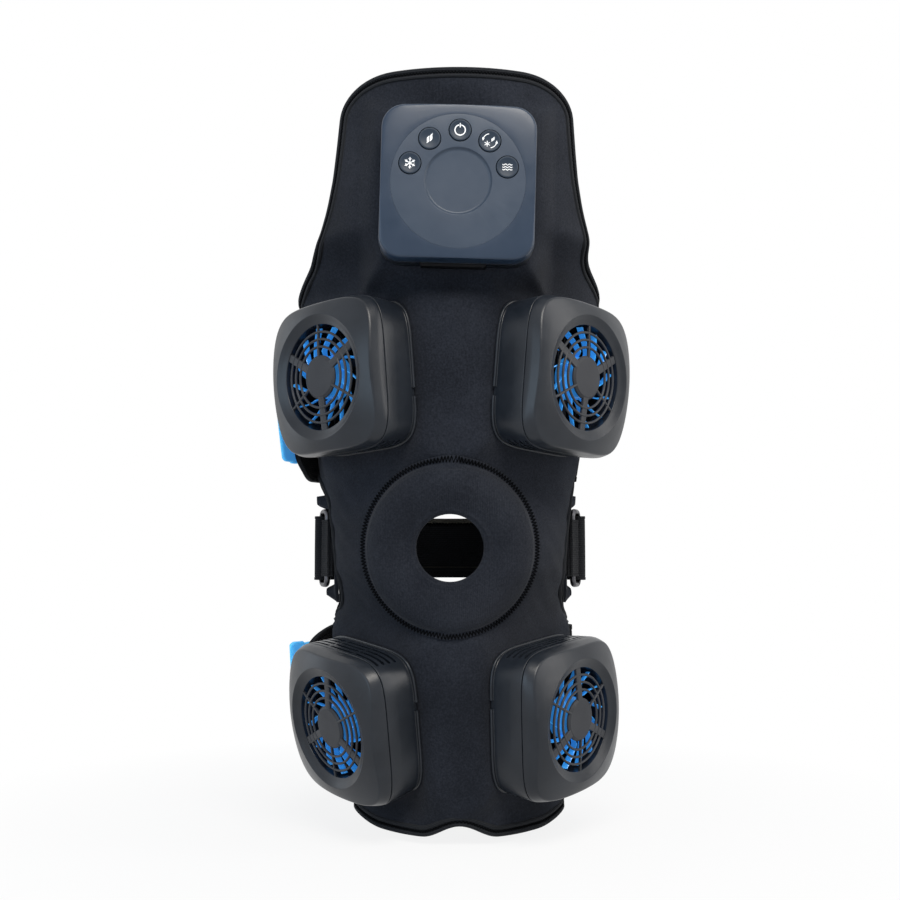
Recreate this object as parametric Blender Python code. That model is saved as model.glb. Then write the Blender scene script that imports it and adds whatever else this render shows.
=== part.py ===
"""A hot and cold therapy wrap for the knee, as it is worn: a padded sheet round the front of the leg,
four square fan modules that heat or chill through it, and a push-button control box on the thigh.
Metres, +Z up. The front faces -Y and the origin is the centre of the knee."""

from math import atan2, cos, degrees, hypot, pi, radians, sin, sqrt, tan

import bmesh
import bpy
from mathutils import Matrix, Vector

# Clearances
SEAT_GAP = 0.0003
RUNNING_GAP = 0.0004
SHAFT_GAP = 0.00008
CUT_OVERRUN = 0.004

# Heights above the centre of the knee, in turn up the thigh and down the calf
BASE_HALF = 0.0413
CONTROL_HALF = 0.0420
SEAT_TO_CONTROL_GAP = 0.0168
TOP_MARGIN = 0.0282
BOTTOM_MARGIN = 0.0268
THIGH_SEAT_HEIGHT = 0.0947
CALF_SEAT_HEIGHT = -0.0939
CONTROL_HEIGHT = THIGH_SEAT_HEIGHT + BASE_HALF + SEAT_TO_CONTROL_GAP + CONTROL_HALF
TOP_HEIGHT = CONTROL_HEIGHT + CONTROL_HALF + TOP_MARGIN
BOTTOM_HEIGHT = CALF_SEAT_HEIGHT - BASE_HALF - BOTTOM_MARGIN

# The leg that the wrap is shaped on
TOP_HALF_WIDTH = 0.092
CONTROL_HALF_WIDTH = 0.090
WING_HEIGHT = 0.150
WING_HALF_WIDTH = 0.0905
THIGH_HALF_WIDTH = 0.083
KNEE_RADIUS = 0.070
CALF_HALF_WIDTH = 0.068
BOTTOM_RADIUS = 0.064
TOP_FRONT_DEPTH = 0.087
CONTROL_FRONT_DEPTH = 0.088
THIGH_FRONT_DEPTH = 0.090
CALF_FRONT_DEPTH = 0.075
KNEE_BEND_LENGTH = 0.040
THIGH_SIDE_LEAN = 1.15
THIGH_BACK_LEAN = 1.1
CALF_SIDE_LEAN = -2.4
CALF_BACK_LEAN = 8.4
SECTION_POWER = 10
LEFT_WING_FLARE = 0.0055
WING_FLARE_LOW = 0.020
WING_FLARE_HIGH = 0.190
WING_FLARE_FADE = 0.022
WING_CORNER_FLARE = 0.0042
WING_CORNER_LOW = 0.146
WING_CORNER_HIGH = 0.182
WING_CORNER_FADE = 0.014

# The wrap: a sheet of foam between two faces of knitted cloth
WRAP_THICKNESS = 0.0050
PATELLA_HOLE_RADIUS = 0.0195
TOP_CORNER_DROP = 0.022
TOP_CORNER_START = 24.0
HEM_SCALLOP_RISE = 0.0075
HEM_SCALLOP_ANGLE = 20.0
HEM_SIDE_RISE = 0.004
HEM_SIDE_START = 50.0
HEM_SIDE_END = 90.0
BOTTOM_CORNER_DROP = 0.014
BOTTOM_CORNER_START = 92.0
WING_ANGLE = 118.0
FRONT_ANGLE = 30.0
WRAP_COLUMNS = (7.5, 15.5, 25, 37, 51, 66, 83, 101, 112, 118)
UPPER_ROW_SHARES = (1.0, 0.95, 0.86, 0.77, 0.70, 0.635, 0.585, 0.525, 0.46, 0.26, 0.19, 0.145, 0.105, 0.06, 0)
LOWER_ROW_SHARES = (0.09, 0.16, 0.225, 0.30, 0.44, 0.59, 0.74, 0.88, 1.0)
# Each pair is a share of the top or bottom height and the angle from the front to the sheet's edge there.
UPPER_EDGE_SHARES = (
    (0, 79.5), (0.05, 79.5), (0.10, 84), (0.145, 96), (0.185, 110), (0.265, 117), (0.45, 117),
    (0.535, 110), (0.585, 86), (0.635, 66), (0.70, 57.5), (0.77, 52.5), (0.86, 50), (1.0, 47.5),
)
LOWER_EDGE_SHARES = (
    (0, 79.5), (0.09, 80), (0.16, 85), (0.225, 98), (0.30, 112), (0.44, 120), (0.88, 120), (1.0, 114),
)

# The cushioned ring round the kneecap hole. Each pair is a share of its width and one of its height.
PAD_RADIUS = 0.050
PAD_HOLE_RADIUS = 0.0205
PAD_HEIGHT = 0.0075
PAD_PROFILE_SHARES = (
    (0, 0.20), (0.07, 0.62), (0.20, 0.90), (0.40, 1.0), (0.60, 0.92), (0.78, 0.62), (0.88, 0.26), (1.0, 0.20),
)
PAD_SEGMENTS = 30
PAD_SEAT_SHARES = (0, 0.22, 0.48, 0.76, 1.0)
PAD_LIFT = 0.0013

# Fan modules, measured from the middle of the base: across, and outwards from the leg
MODULE_POWER = 5.1
MODULE_POINTS = 32
BASE_RIM_HEIGHT = 0.0015
WAIST_HALF = 0.0399
WAIST_HEIGHT = 0.0024
SEAM_HALF = 0.0422
SEAM_HEIGHT = 0.0224
SEAM_GROOVE = 0.0004
HOUSING_WALL = 0.0020
FLOOR_HEIGHT = 0.0044
WINDOW_HALF = 0.0206
WINDOW_POWER = 12
VENT_ROWS = 4
VENT_FIRST_HEIGHT = 0.0074
VENT_PITCH = 0.0040
VENT_SLOT_HEIGHT = 0.0018
VENT_HALF_LENGTH = 0.0335
VENT_RIB_OFFSET = 0.0115
VENT_RIB_WIDTH = 0.0014
NOTCH_OFFSET = -0.0125
NOTCH_WIDTH = 0.0050
NOTCH_DEPTH = 0.0016

# Front cover of a module
OPENING_RADIUS = 0.0290
OPENING_HEIGHT = 0.0320
DISH_RADIUS = 0.0344
DISH_HEIGHT = 0.0345
CROWN_SLOPE = 0.35
COVER_EDGE_ROUND = 0.0018
COVER_WALL = 0.0020
SKIRT_WALL = 0.0018
SKIRT_BOTTOM = 0.0210
COVER_DRAFT = 0.0014
COVER_POWER = 4.6

# Grille of a module
HUB_CAP_RADIUS = 0.01205
HUB_CAP_HEIGHT = 0.0330
HUB_CAP_DISH = 0.0006
GRILLE_THICKNESS = 0.0018
GRILLE_RING_WIDTH = 0.0015
GRILLE_RING_SHARES = (0.575, 0.717, 0.858)
SPOKE_WIDTH = 0.0045
RIB_WIDTH = 0.0013
SPOKE_PAIRS = 3
GRILLE_ARC_STEPS = 3

# Impeller and motor of a module
IMPELLER_HUB_RADIUS = 0.0120
IMPELLER_HUB_TOP = 0.0268
IMPELLER_HUB_BOTTOM = 0.0190
IMPELLER_HUB_WALL = 0.0013
IMPELLER_HUB_ROUND = 0.0012
BLADE_COUNT = 13
BLADE_TIP_RADIUS = 0.0280
BLADE_TOP = 0.0290
BLADE_BOTTOM = 0.0190
BLADE_THICKNESS = 0.0011
BLADE_ROOT_ANGLE = 38.0
BLADE_TIP_ANGLE = 56.0
BLADE_ROOT_SINK = 0.0006
SHAFT_RADIUS = 0.0015
SHAFT_BOTTOM = 0.0180
MOTOR_RADIUS = 0.0095
MOTOR_BOTTOM = 0.0158
MOTOR_FLOOR = 0.0014
STRUT_COUNT = 3
STRUT_WIDTH = 0.0040
STRUT_THICKNESS = 0.0016
STRUT_FOOT_LENGTH = 0.0018
TURNED_SEGMENTS = 16

# Heat pump of a module
SINK_HALF = 0.0250
SINK_BASE = 0.0030
SINK_FIN_COUNT = 11
SINK_FIN_THICKNESS = 0.0012
SINK_TOP = 0.0150
PELTIER_HALF = 0.0195
COLD_PLATE_HALF = 0.0265
COLD_PLATE_THICKNESS = 0.0026
COLD_PLATE_CORNER = 0.0080
COLD_PLATE_GAP = 0.0007
COLD_BLOCK_TOP = 0.0009
PELTIER_THICKNESS = 0.0032

# Control box, measured from the middle of its back
CONTROL_CORNER = 0.0123
CONTROL_DEPTH = 0.0240
CONTROL_SPLIT = 0.0135
CONTROL_WALL = 0.0018
CONTROL_BACK_DISTANCE = 0.0820
CONTROL_ASIDE = 0.0042
CONTROL_TURN = 1.5
CONTROL_NOD = -2.0
CONTROL_FLOOR = 0.0022
FACE_EDGE_ROUND = 0.0020
CORNER_STEPS = 8
PLATE_CORNER_STEPS = 3
DIAL_RADIUS = 0.0360
DIAL_THICKNESS = 0.0024
DIAL_DISH_RADIUS = 0.0182
DIAL_DISH_DEPTH = 0.0013
DIAL_SEGMENTS = 32
FACE_SKIN = 0.0016
BUTTON_RADIUS = 0.0058
BUTTON_CIRCLE_RADIUS = 0.0272
BUTTON_STAND = 0.0006
BUTTON_ROUND = 0.0006
BUTTON_FLANGE = 0.0012
BUTTON_FLANGE_THICKNESS = 0.0022
BUTTON_TRAVEL_ROOM = 0.0008
BUTTON_TURN = 1.0
BUTTON_POINTS = 14
BUTTON_ANGLES = {"cool": 162, "heat": 126, "power": 90, "cycle": 54, "wave": 18}
BOARD_THICKNESS = 0.0016
BOARD_HALF = 0.0385
BOSS_RADIUS = 0.0028
BOSS_OFFSET_SHARE = 0.84
BATTERY_WIDTH = 0.0560
BATTERY_LENGTH = 0.0440
BATTERY_THICKNESS = 0.0090
SMALL_ROUND = 0.0005
PORT_COVER_WIDTH = 0.0355
PORT_COVER_LENGTH = 0.0105
PORT_COVER_THICKNESS = 0.0016
PORT_COVER_ASIDE = -0.0015
PORT_COVER_BACK = 0.0022
PORT_RECESS = 0.0008
SOCKET_WIDTH = 0.0090
SOCKET_HEIGHT = 0.0034
SOCKET_LENGTH = 0.0070
SOCKET_WALL = 0.0004

# Side patches, keepers, rings and straps
PATCH_THICKNESS = 0.0024
PATCH_HALF_HEIGHT = 0.033
PATCH_BACK_ANGLE = 101.0
PATCH_FLARES = {"left": (0.0120, 0.0085), "right": (0.0080, 0.0050)}
PATCH_CALM_HALF_HEIGHT = 0.0195
PATCH_ROW_SHARES = (1, 0.86, 0.6, 0, -0.6, -0.86, -1)
PATCH_PULL_SHARE = 0.85
PATCH_STEPS = 4
KEEPER_HALF_HEIGHT = 0.0170
KEEPER_THICKNESS = 0.0014
KEEPER_START_ANGLE = 82.5
RING_WIRE_RADIUS = 0.00175
RING_HALF_HEIGHT = 0.0220
RING_REACH = 0.0115
RING_CORNER_RADIUS = 0.0032
RING_SWING = 25.0
MIDDLE_STRAP_HALF_HEIGHT = 0.0195
STRAP_THICKNESS = 0.0024
STRAP_LIFT = 0.0011
STRAP_HALF_HEIGHT = 0.0290
STRAP_CORNER_DROP = 0.0150
STRAP_CORNER_LENGTH = 0.0280
STRAP_CORNER_SHARES = (1, 0.65, 0.3, 0.08, 0)
STRAP_ROW_SHARES = (1, 0.5, -0.5, -1)
STRAP_STEPS = 12
UPPER_STRAP_HEIGHT = 0.0700
LOWER_STRAP_HEIGHT = -0.0755
STRAP_START_ANGLE = 98.0
STRAP_FOLD_ANGLE = 14.0
UPPER_STRAP_LEAVE_ANGLE = 247.5
UPPER_STRAP_END_ANGLE = 277.0
LOWER_STRAP_LEAVE_ANGLE = 231.0
LOWER_STRAP_END_ANGLE = 264.5
TAB_THICKNESS = 0.0020
TAB_HALF_HEIGHT = 0.0190
TAB_OVERLAP = 0.0080
TAB_REACH = 0.0105
TAB_BEND = 2.0
TAB_ROW_SHARES = (1, 0.8, -0.8, -1)

SIDES = {"left": -1, "right": 1}
# Where each module sits: which way from the middle of the leg, the angles that it faces, and its hand.
SEATS = {
    "upper_left": {"aside": -43.1, "faces": -43.3, "nods": -2.9, "rolls": 3.0, "flipped": False, "hand": 1},
    "upper_right": {"aside": 43.9, "faces": 46.9, "nods": -3.0, "rolls": -3.5, "flipped": False, "hand": -1},
    "lower_left": {"aside": -52.5, "faces": -50.7, "nods": -11.5, "rolls": -7.2, "flipped": True, "hand": -1},
    "lower_right": {"aside": 51.5, "faces": 50.2, "nods": -3.3, "rolls": 6.4, "flipped": True, "hand": 1},
}
THIGH_SEAT_RADIUS = 0.0731
CALF_SEAT_RADIUS = 0.0580
SEAT_PRESS_MARGIN = 0.006
SEAT_PRESS_FADE = 0.014
SEAT_REACH = 0.046
SEAT_REACH_FADE = 0.038

COLOURS = {
    "knit": ((0.012, 0.015, 0.020), 0.95, 0.0),
    "webbing": ((0.008, 0.009, 0.012), 0.85, 0.0),
    "shell": ((0.045, 0.050, 0.060), 0.42, 0.0),
    "face": ((0.100, 0.120, 0.150), 0.45, 0.0),
    "dial": ((0.130, 0.150, 0.180), 0.40, 0.0),
    "button": ((0.030, 0.035, 0.045), 0.45, 0.0),
    "blue": ((0.020, 0.270, 0.850), 0.45, 0.0),
    "steel": ((0.450, 0.460, 0.480), 0.30, 1.0),
    "aluminium": ((0.600, 0.610, 0.620), 0.40, 1.0),
    "ceramic": ((0.850, 0.850, 0.830), 0.50, 0.0),
    "board": ((0.010, 0.120, 0.060), 0.50, 0.0),
    "cell": ((0.200, 0.220, 0.260), 0.50, 0.0),
}


def clear_scene():
    for old in list(bpy.data.objects):
        bpy.data.objects.remove(old)


def material(name):
    """The material of that name, made when it is first asked for."""
    found = bpy.data.materials.get(name)
    if found:
        return found
    colour, roughness, metallic = COLOURS[name]
    made = bpy.data.materials.new(name)
    made.use_nodes = True
    shader = made.node_tree.nodes["Principled BSDF"]
    shader.inputs["Base Color"].default_value = (*colour, 1)
    shader.inputs["Roughness"].default_value = roughness
    shader.inputs["Metallic"].default_value = metallic
    made.diffuse_color = (*colour, 1)
    return made


def mesh_from(name, builder):
    """The closed mesh held by the bmesh, with round faces smooth and edges kept sharp."""
    bmesh.ops.recalc_face_normals(builder, faces=builder.faces)
    mesh = bpy.data.meshes.new(name)
    builder.to_mesh(mesh)
    builder.free()
    mesh.shade_smooth()
    mesh.set_sharp_from_angle(angle=radians(35))
    return mesh


def place(name, mesh, finish, parent=None):
    made = bpy.data.objects.new(name, mesh)
    bpy.context.scene.collection.objects.link(made)
    if not mesh.materials:
        mesh.materials.append(material(finish))
    if parent:
        made.parent = parent
    return made


def frame_empty(name, matrix):
    made = bpy.data.objects.new(name, None)
    made.matrix_world = matrix
    bpy.context.scene.collection.objects.link(made)
    return made


def loft(loops, ring=False):
    """A bmesh skinned over loops of equally many points. A ring joins its last loop to its first;
    otherwise both ends are capped."""
    builder = bmesh.new()
    rows = [[builder.verts.new(point) for point in loop] for loop in loops]
    pairs = list(zip(rows, rows[1:]))
    if ring:
        pairs.append((rows[-1], rows[0]))
    for low, high in pairs:
        for i in range(len(low)):
            j = (i + 1) % len(low)
            builder.faces.new((low[i], low[j], high[j], high[i]))
    if not ring:
        builder.faces.new(reversed(rows[0]))
        builder.faces.new(rows[-1])
    return builder


def sheet(outer, inner):
    """A bmesh of a sheet given by two equal grids of points, closed round its edges."""
    builder = bmesh.new()
    faces = [[[builder.verts.new(point) for point in row] for row in grid] for grid in (outer, inner)]
    top, bottom = faces
    last_row, last_column = len(outer) - 1, len(outer[0]) - 1
    for i in range(last_row):
        for j in range(last_column):
            builder.faces.new((top[i][j], top[i][j + 1], top[i + 1][j + 1], top[i + 1][j]))
            builder.faces.new((bottom[i][j], bottom[i + 1][j], bottom[i + 1][j + 1], bottom[i][j + 1]))
    border = [(0, j) for j in range(last_column)] + [(i, last_column) for i in range(last_row)]
    border += [(last_row, j) for j in range(last_column, 0, -1)] + [(i, 0) for i in range(last_row, 0, -1)]
    for (i, j), (k, m) in zip(border, border[1:] + border[:1]):
        builder.faces.new((top[i][j], bottom[i][j], bottom[k][m], top[k][m]))
    return builder


def prism(outline, low, high):
    """A bmesh of an outline, given as (across, up) points, standing from low to high."""
    return loft([[(x, y, low) for x, y in outline], [(x, y, high) for x, y in outline]])


def cuboid(low, high):
    corners = [(low[0], low[1]), (high[0], low[1]), (high[0], high[1]), (low[0], high[1])]
    return prism(corners, low[2], high[2])


def circle(radius, height, points):
    turns = [2 * pi * i / points for i in range(points)]
    return [(radius * cos(turn), radius * sin(turn), height) for turn in turns]


def turned(profile, points, ring=False):
    """A bmesh turned about the outward axis from (radius, height) pairs."""
    return loft([circle(radius, height, points) for radius, height in profile], ring)


def rounded_square(half, corner, height, steps=CORNER_STEPS):
    """A loop round a square with round corners."""
    loop = []
    for quarter in range(4):
        middle = pi / 4 + quarter * pi / 2
        centre = (half - corner) * sqrt(2)
        for step in range(steps):
            angle = middle - pi / 4 + (pi / 2) * step / (steps - 1)
            x = centre * cos(middle) + corner * cos(angle)
            y = centre * sin(middle) + corner * sin(angle)
            loop.append((x, y, height))
    return loop


def combine(target, mesh, operation):
    """Cuts the mesh from the target object or joins it on, with an exact Boolean."""
    tool = bpy.data.objects.new(target.name + "_tool", mesh)
    bpy.context.scene.collection.objects.link(tool)
    tool.parent = target.parent
    tool.hide_render = True
    tool.display_type = "WIRE"
    change = target.modifiers.new(operation.lower(), "BOOLEAN")
    change.operation = operation
    change.object = tool
    return tool


def settled(target):
    """The target's mesh with its modifiers applied and the helpers they used removed."""
    bpy.context.view_layer.update()
    graph = bpy.context.evaluated_depsgraph_get()
    done = bpy.data.meshes.new_from_object(target.evaluated_get(graph))
    tools = [change.object for change in target.modifiers if change.type == "BOOLEAN"]
    target.modifiers.clear()
    target.data = done
    done.shade_smooth()
    done.set_sharp_from_angle(angle=radians(35))
    for tool in tools:
        bpy.data.objects.remove(tool)
    return done


def fade(value, start, end):
    """0 at start and 1 at end, with a smooth run between."""
    share = min(max((value - start) / (end - start), 0), 1)
    return share * share * (3 - 2 * share)


def curve_through(stations, at):
    """The smooth curve through (place, value) stations in rising order of place."""
    places = [station[0] for station in stations]
    values = [station[1] for station in stations]
    at = min(max(at, places[0]), places[-1])
    index = max(i for i in range(len(places) - 1) if places[i] <= at)
    slopes = []
    for i in range(len(places)):
        before, after = max(i - 1, 0), min(i + 1, len(places) - 1)
        slopes.append((values[after] - values[before]) / (places[after] - places[before]))
    span = places[index + 1] - places[index]
    share = (at - places[index]) / span
    start, end = values[index], values[index + 1]
    bend_in = share * (1 - share) ** 2 * slopes[index] * span
    bend_out = share * share * (share - 1) * slopes[index + 1] * span
    return start + (end - start) * share * share * (3 - 2 * share) + bend_in + bend_out


def leg_axis(z):
    """The middle of the leg at a height: thigh and calf lean their own ways from the knee."""
    reach = hypot(z, KNEE_BEND_LENGTH) - KNEE_BEND_LENGTH
    above, below = (reach + z) / 2, (reach - z) / 2
    aside = above * tan(radians(THIGH_SIDE_LEAN)) - below * tan(radians(CALF_SIDE_LEAN))
    back = above * tan(radians(THIGH_BACK_LEAN)) + below * tan(radians(CALF_BACK_LEAN))
    return Vector((aside, back, z))


HALF_WIDTHS = (
    (BOTTOM_HEIGHT, BOTTOM_RADIUS), (CALF_SEAT_HEIGHT, CALF_HALF_WIDTH), (0, KNEE_RADIUS),
    (THIGH_SEAT_HEIGHT, THIGH_HALF_WIDTH), (WING_HEIGHT, WING_HALF_WIDTH),
    (CONTROL_HEIGHT, CONTROL_HALF_WIDTH), (TOP_HEIGHT, TOP_HALF_WIDTH),
)
FRONT_DEPTHS = (
    (BOTTOM_HEIGHT, BOTTOM_RADIUS), (CALF_SEAT_HEIGHT, CALF_FRONT_DEPTH), (0, KNEE_RADIUS),
    (THIGH_SEAT_HEIGHT, THIGH_FRONT_DEPTH), (CONTROL_HEIGHT, CONTROL_FRONT_DEPTH),
    (TOP_HEIGHT, TOP_FRONT_DEPTH),
)


def heading(angle):
    """The level direction at an angle from the front, towards +X."""
    return Vector((sin(radians(angle)), -cos(radians(angle)), 0))


def seat_matrix(name):
    """A module's frame: X across, Y up and Z outwards, with its origin on the cloth under its base."""
    seat = SEATS[name]
    low = name.startswith("lower")
    height = CALF_SEAT_HEIGHT if low else THIGH_SEAT_HEIGHT
    distance = CALF_SEAT_RADIUS if low else THIGH_SEAT_RADIUS
    centre = leg_axis(height) + heading(seat["aside"]) * distance
    turn = Matrix.Rotation(radians(seat["faces"]), 4, "Z")
    nod = Matrix.Rotation(pi / 2 - radians(seat["nods"]), 4, "X")
    roll = Matrix.Rotation(radians(seat["rolls"]) + (pi if seat["flipped"] else 0), 4, "Z")
    return Matrix.Translation(centre) @ turn @ nod @ roll


def control_matrix():
    centre = leg_axis(CONTROL_HEIGHT)
    centre.x = CONTROL_ASIDE
    centre.y = -CONTROL_BACK_DISTANCE
    nod = Matrix.Rotation(pi / 2 - radians(CONTROL_NOD), 4, "X")
    return Matrix.Translation(centre) @ nod @ Matrix.Rotation(-radians(CONTROL_TURN), 4, "Z")


SEAT_MATRICES = {name: seat_matrix(name) for name in SEATS}
CONTROL_MATRIX = control_matrix()
PRESSED_FLATS = [(matrix, BASE_HALF) for matrix in SEAT_MATRICES.values()] + [(CONTROL_MATRIX, CONTROL_HALF)]
PRESSED_FLATS = [(matrix, matrix.inverted(), half) for matrix, half in PRESSED_FLATS]


def section_radius(angle, z):
    """The leg's radius with the wrap on it, drawn flatter towards each module near its height."""
    side = curve_through(HALF_WIDTHS, z)
    front = curve_through(FRONT_DEPTHS, z) if cos(radians(angle)) > 0 else side
    plain = hypot(side * sin(radians(angle)), front * cos(radians(angle)))
    total = plain ** -SECTION_POWER
    for name, seat in SEATS.items():
        low = name.startswith("lower")
        away = abs(z - (CALF_SEAT_HEIGHT if low else THIGH_SEAT_HEIGHT))
        weight = 1 - fade(away, SEAT_REACH, SEAT_REACH + SEAT_REACH_FADE)
        towards = cos(radians(angle - seat["aside"]))
        if weight > 0 and towards > 0:
            distance = CALF_SEAT_RADIUS if low else THIGH_SEAT_RADIUS
            total += weight * (distance / towards) ** -SECTION_POWER
    return total ** (-1 / SECTION_POWER)


def pressed(point):
    """The point of the cloth after the flat bases have pushed it in or drawn it out to meet them."""
    for matrix, inverse, half in PRESSED_FLATS:
        local = inverse @ point
        if abs(local.z) > half:
            continue
        beyond = max(abs(local.x), abs(local.y)) - half
        if local.z > -SEAT_GAP:
            hold = 1 - fade(beyond, SEAT_PRESS_MARGIN, SEAT_PRESS_MARGIN + SEAT_PRESS_FADE)
        else:
            hold = 1 - fade(beyond, -SEAT_PRESS_MARGIN, SEAT_PRESS_FADE)
        local.z += hold * (-SEAT_GAP - local.z)
        point = matrix @ local
    return point


def cloth_point(angle, z):
    point = pressed(leg_axis(z) + heading(angle) * section_radius(angle, z))
    leftward = -angle % 360
    if leftward < 180:
        rise = fade(z, WING_FLARE_LOW, WING_FLARE_LOW + WING_FLARE_FADE)
        rise *= 1 - fade(z, WING_FLARE_HIGH - WING_FLARE_FADE, WING_FLARE_HIGH)
        point.x -= LEFT_WING_FLARE * rise * fade(leftward, 78, 100) * (1 - fade(leftward, 125, 170))
        corner = fade(z, WING_CORNER_LOW, WING_CORNER_LOW + WING_CORNER_FADE)
        corner *= 1 - fade(z, WING_CORNER_HIGH - WING_CORNER_FADE, WING_CORNER_HIGH)
        point.x -= WING_CORNER_FLARE * corner * fade(leftward, 48, 66) * (1 - fade(leftward, 95, 125))
    return point


def on_cloth(angle, z, lift=0.0):
    """A point at a height above the wrap's outer face."""
    point = cloth_point(angle, z)
    if not lift:
        return point
    turn_step, rise_step = 0.6, WRAP_THICKNESS / 6
    across = cloth_point(angle + turn_step, z) - cloth_point(angle - turn_step, z)
    along = cloth_point(angle, z + rise_step) - cloth_point(angle, z - rise_step)
    return point + across.cross(along).normalized() * lift


def edge_angle(z):
    """How far round the leg the sheet reaches at a height."""
    if z >= 0:
        return curve_through(UPPER_EDGE_SHARES, z / TOP_HEIGHT)
    return curve_through(LOWER_EDGE_SHARES, z / BOTTOM_HEIGHT)


def sheet_place(column, z_row):
    """The angle and height of one point of the sheet's grid, with its top corners and hem shaped."""
    reach = edge_angle(z_row)
    angle = abs(column)
    if angle > FRONT_ANGLE:
        angle = FRONT_ANGLE + (angle - FRONT_ANGLE) * (reach - FRONT_ANGLE) / (WING_ANGLE - FRONT_ANGLE)
    upper_start = TOP_HEIGHT * UPPER_ROW_SHARES[3]
    lower_start = BOTTOM_HEIGHT * LOWER_ROW_SHARES[-3]
    z = z_row
    if z_row > upper_start:
        corner = min(max((angle - TOP_CORNER_START) / (reach - TOP_CORNER_START), 0), 1)
        top = TOP_HEIGHT - TOP_CORNER_DROP * (1 - sqrt(1 - corner * corner))
        z = upper_start + (z_row - upper_start) * (top - upper_start) / (TOP_HEIGHT - upper_start)
    if z_row < lower_start:
        rise = HEM_SCALLOP_RISE * (1 - fade(angle, 0, HEM_SCALLOP_ANGLE))
        rise += HEM_SIDE_RISE * fade(angle, HEM_SIDE_START, HEM_SIDE_END)
        corner = min(max((angle - BOTTOM_CORNER_START) / (reach - BOTTOM_CORNER_START), 0), 1)
        rise += BOTTOM_CORNER_DROP * (1 - sqrt(1 - corner * corner))
        z = z_row + rise * (z_row - lower_start) / (BOTTOM_HEIGHT - lower_start)
    return (angle if column >= 0 else -angle), z


def build_wrap():
    rows = [TOP_HEIGHT * share for share in UPPER_ROW_SHARES]
    rows += [BOTTOM_HEIGHT * share for share in LOWER_ROW_SHARES]
    columns = [-column for column in reversed(WRAP_COLUMNS)] + [0] + list(WRAP_COLUMNS)
    places = [[sheet_place(column, z) for column in columns] for z in rows]
    outer = [[on_cloth(angle, z) for angle, z in row] for row in places]
    inner = [[on_cloth(angle, z, -WRAP_THICKNESS) for angle, z in row] for row in places]
    wrap = place("wrap", mesh_from("wrap", sheet(outer, inner)), "knit")
    ends = (-KNEE_RADIUS / 2, KNEE_RADIUS / 2)
    hole = turned([(PATELLA_HOLE_RADIUS, end) for end in ends], PAD_SEGMENTS)
    through = Matrix.Translation((0, -KNEE_RADIUS, 0)) @ Matrix.Rotation(pi / 2, 4, "X")
    bmesh.ops.transform(hole, matrix=through, verts=hole.verts)
    combine(wrap, mesh_from("kneecap_hole", hole), "DIFFERENCE")
    for name, matrix in SEAT_MATRICES.items():
        reach = WRAP_THICKNESS + CUT_OVERRUN
        window = cuboid((-WINDOW_HALF, -WINDOW_HALF, -reach), (WINDOW_HALF, WINDOW_HALF, CUT_OVERRUN))
        bmesh.ops.transform(window, matrix=matrix, verts=window.verts)
        combine(wrap, mesh_from("window_" + name, window), "DIFFERENCE")
    settled(wrap)


def front_place(x, z):
    """The angle and height whose cloth point lies at x and z on the front of the knee."""
    angle, height = degrees(atan2(x, KNEE_RADIUS)), z
    for _ in range(12):
        point = cloth_point(angle, height)
        angle += degrees((x - point.x) / (KNEE_RADIUS * cos(radians(angle))))
        height += z - point.z
    return angle, height


def build_patella_pad():
    width = PAD_RADIUS - PAD_HOLE_RADIUS
    top = [(PAD_RADIUS - width * share, PAD_HEIGHT * rise_share) for share, rise_share in PAD_PROFILE_SHARES]
    seat = [(PAD_HOLE_RADIUS + width * share, PAD_LIFT) for share in PAD_SEAT_SHARES]
    loops = []
    for radius, lift in top + seat:
        loop = []
        for i in range(PAD_SEGMENTS):
            turn = 2 * pi * i / PAD_SEGMENTS
            angle, z = front_place(radius * cos(turn), radius * sin(turn))
            loop.append(on_cloth(angle, z, lift))
        loops.append(loop)
    place("patella_pad", mesh_from("patella_pad", loft(loops, ring=True)), "knit")


def module_loop(half, height, power=MODULE_POWER):
    """A loop round a module: a square whose sides bow and whose corners are full."""
    loop = []
    for i in range(MODULE_POINTS):
        turn = 2 * pi * i / MODULE_POINTS
        reach = half * (abs(cos(turn)) ** power + abs(sin(turn)) ** power) ** (-1 / power)
        loop.append((reach * cos(turn), reach * sin(turn), height))
    return loop


def crown_height(x, y):
    """The cone that the front of the cover is cut to."""
    return DISH_HEIGHT - CROWN_SLOPE * (hypot(x, y) - DISH_RADIUS)


def crown_loop(half, drop):
    return [(x, y, crown_height(x, y) - drop) for x, y, _ in module_loop(half, 0, COVER_POWER)]


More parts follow.
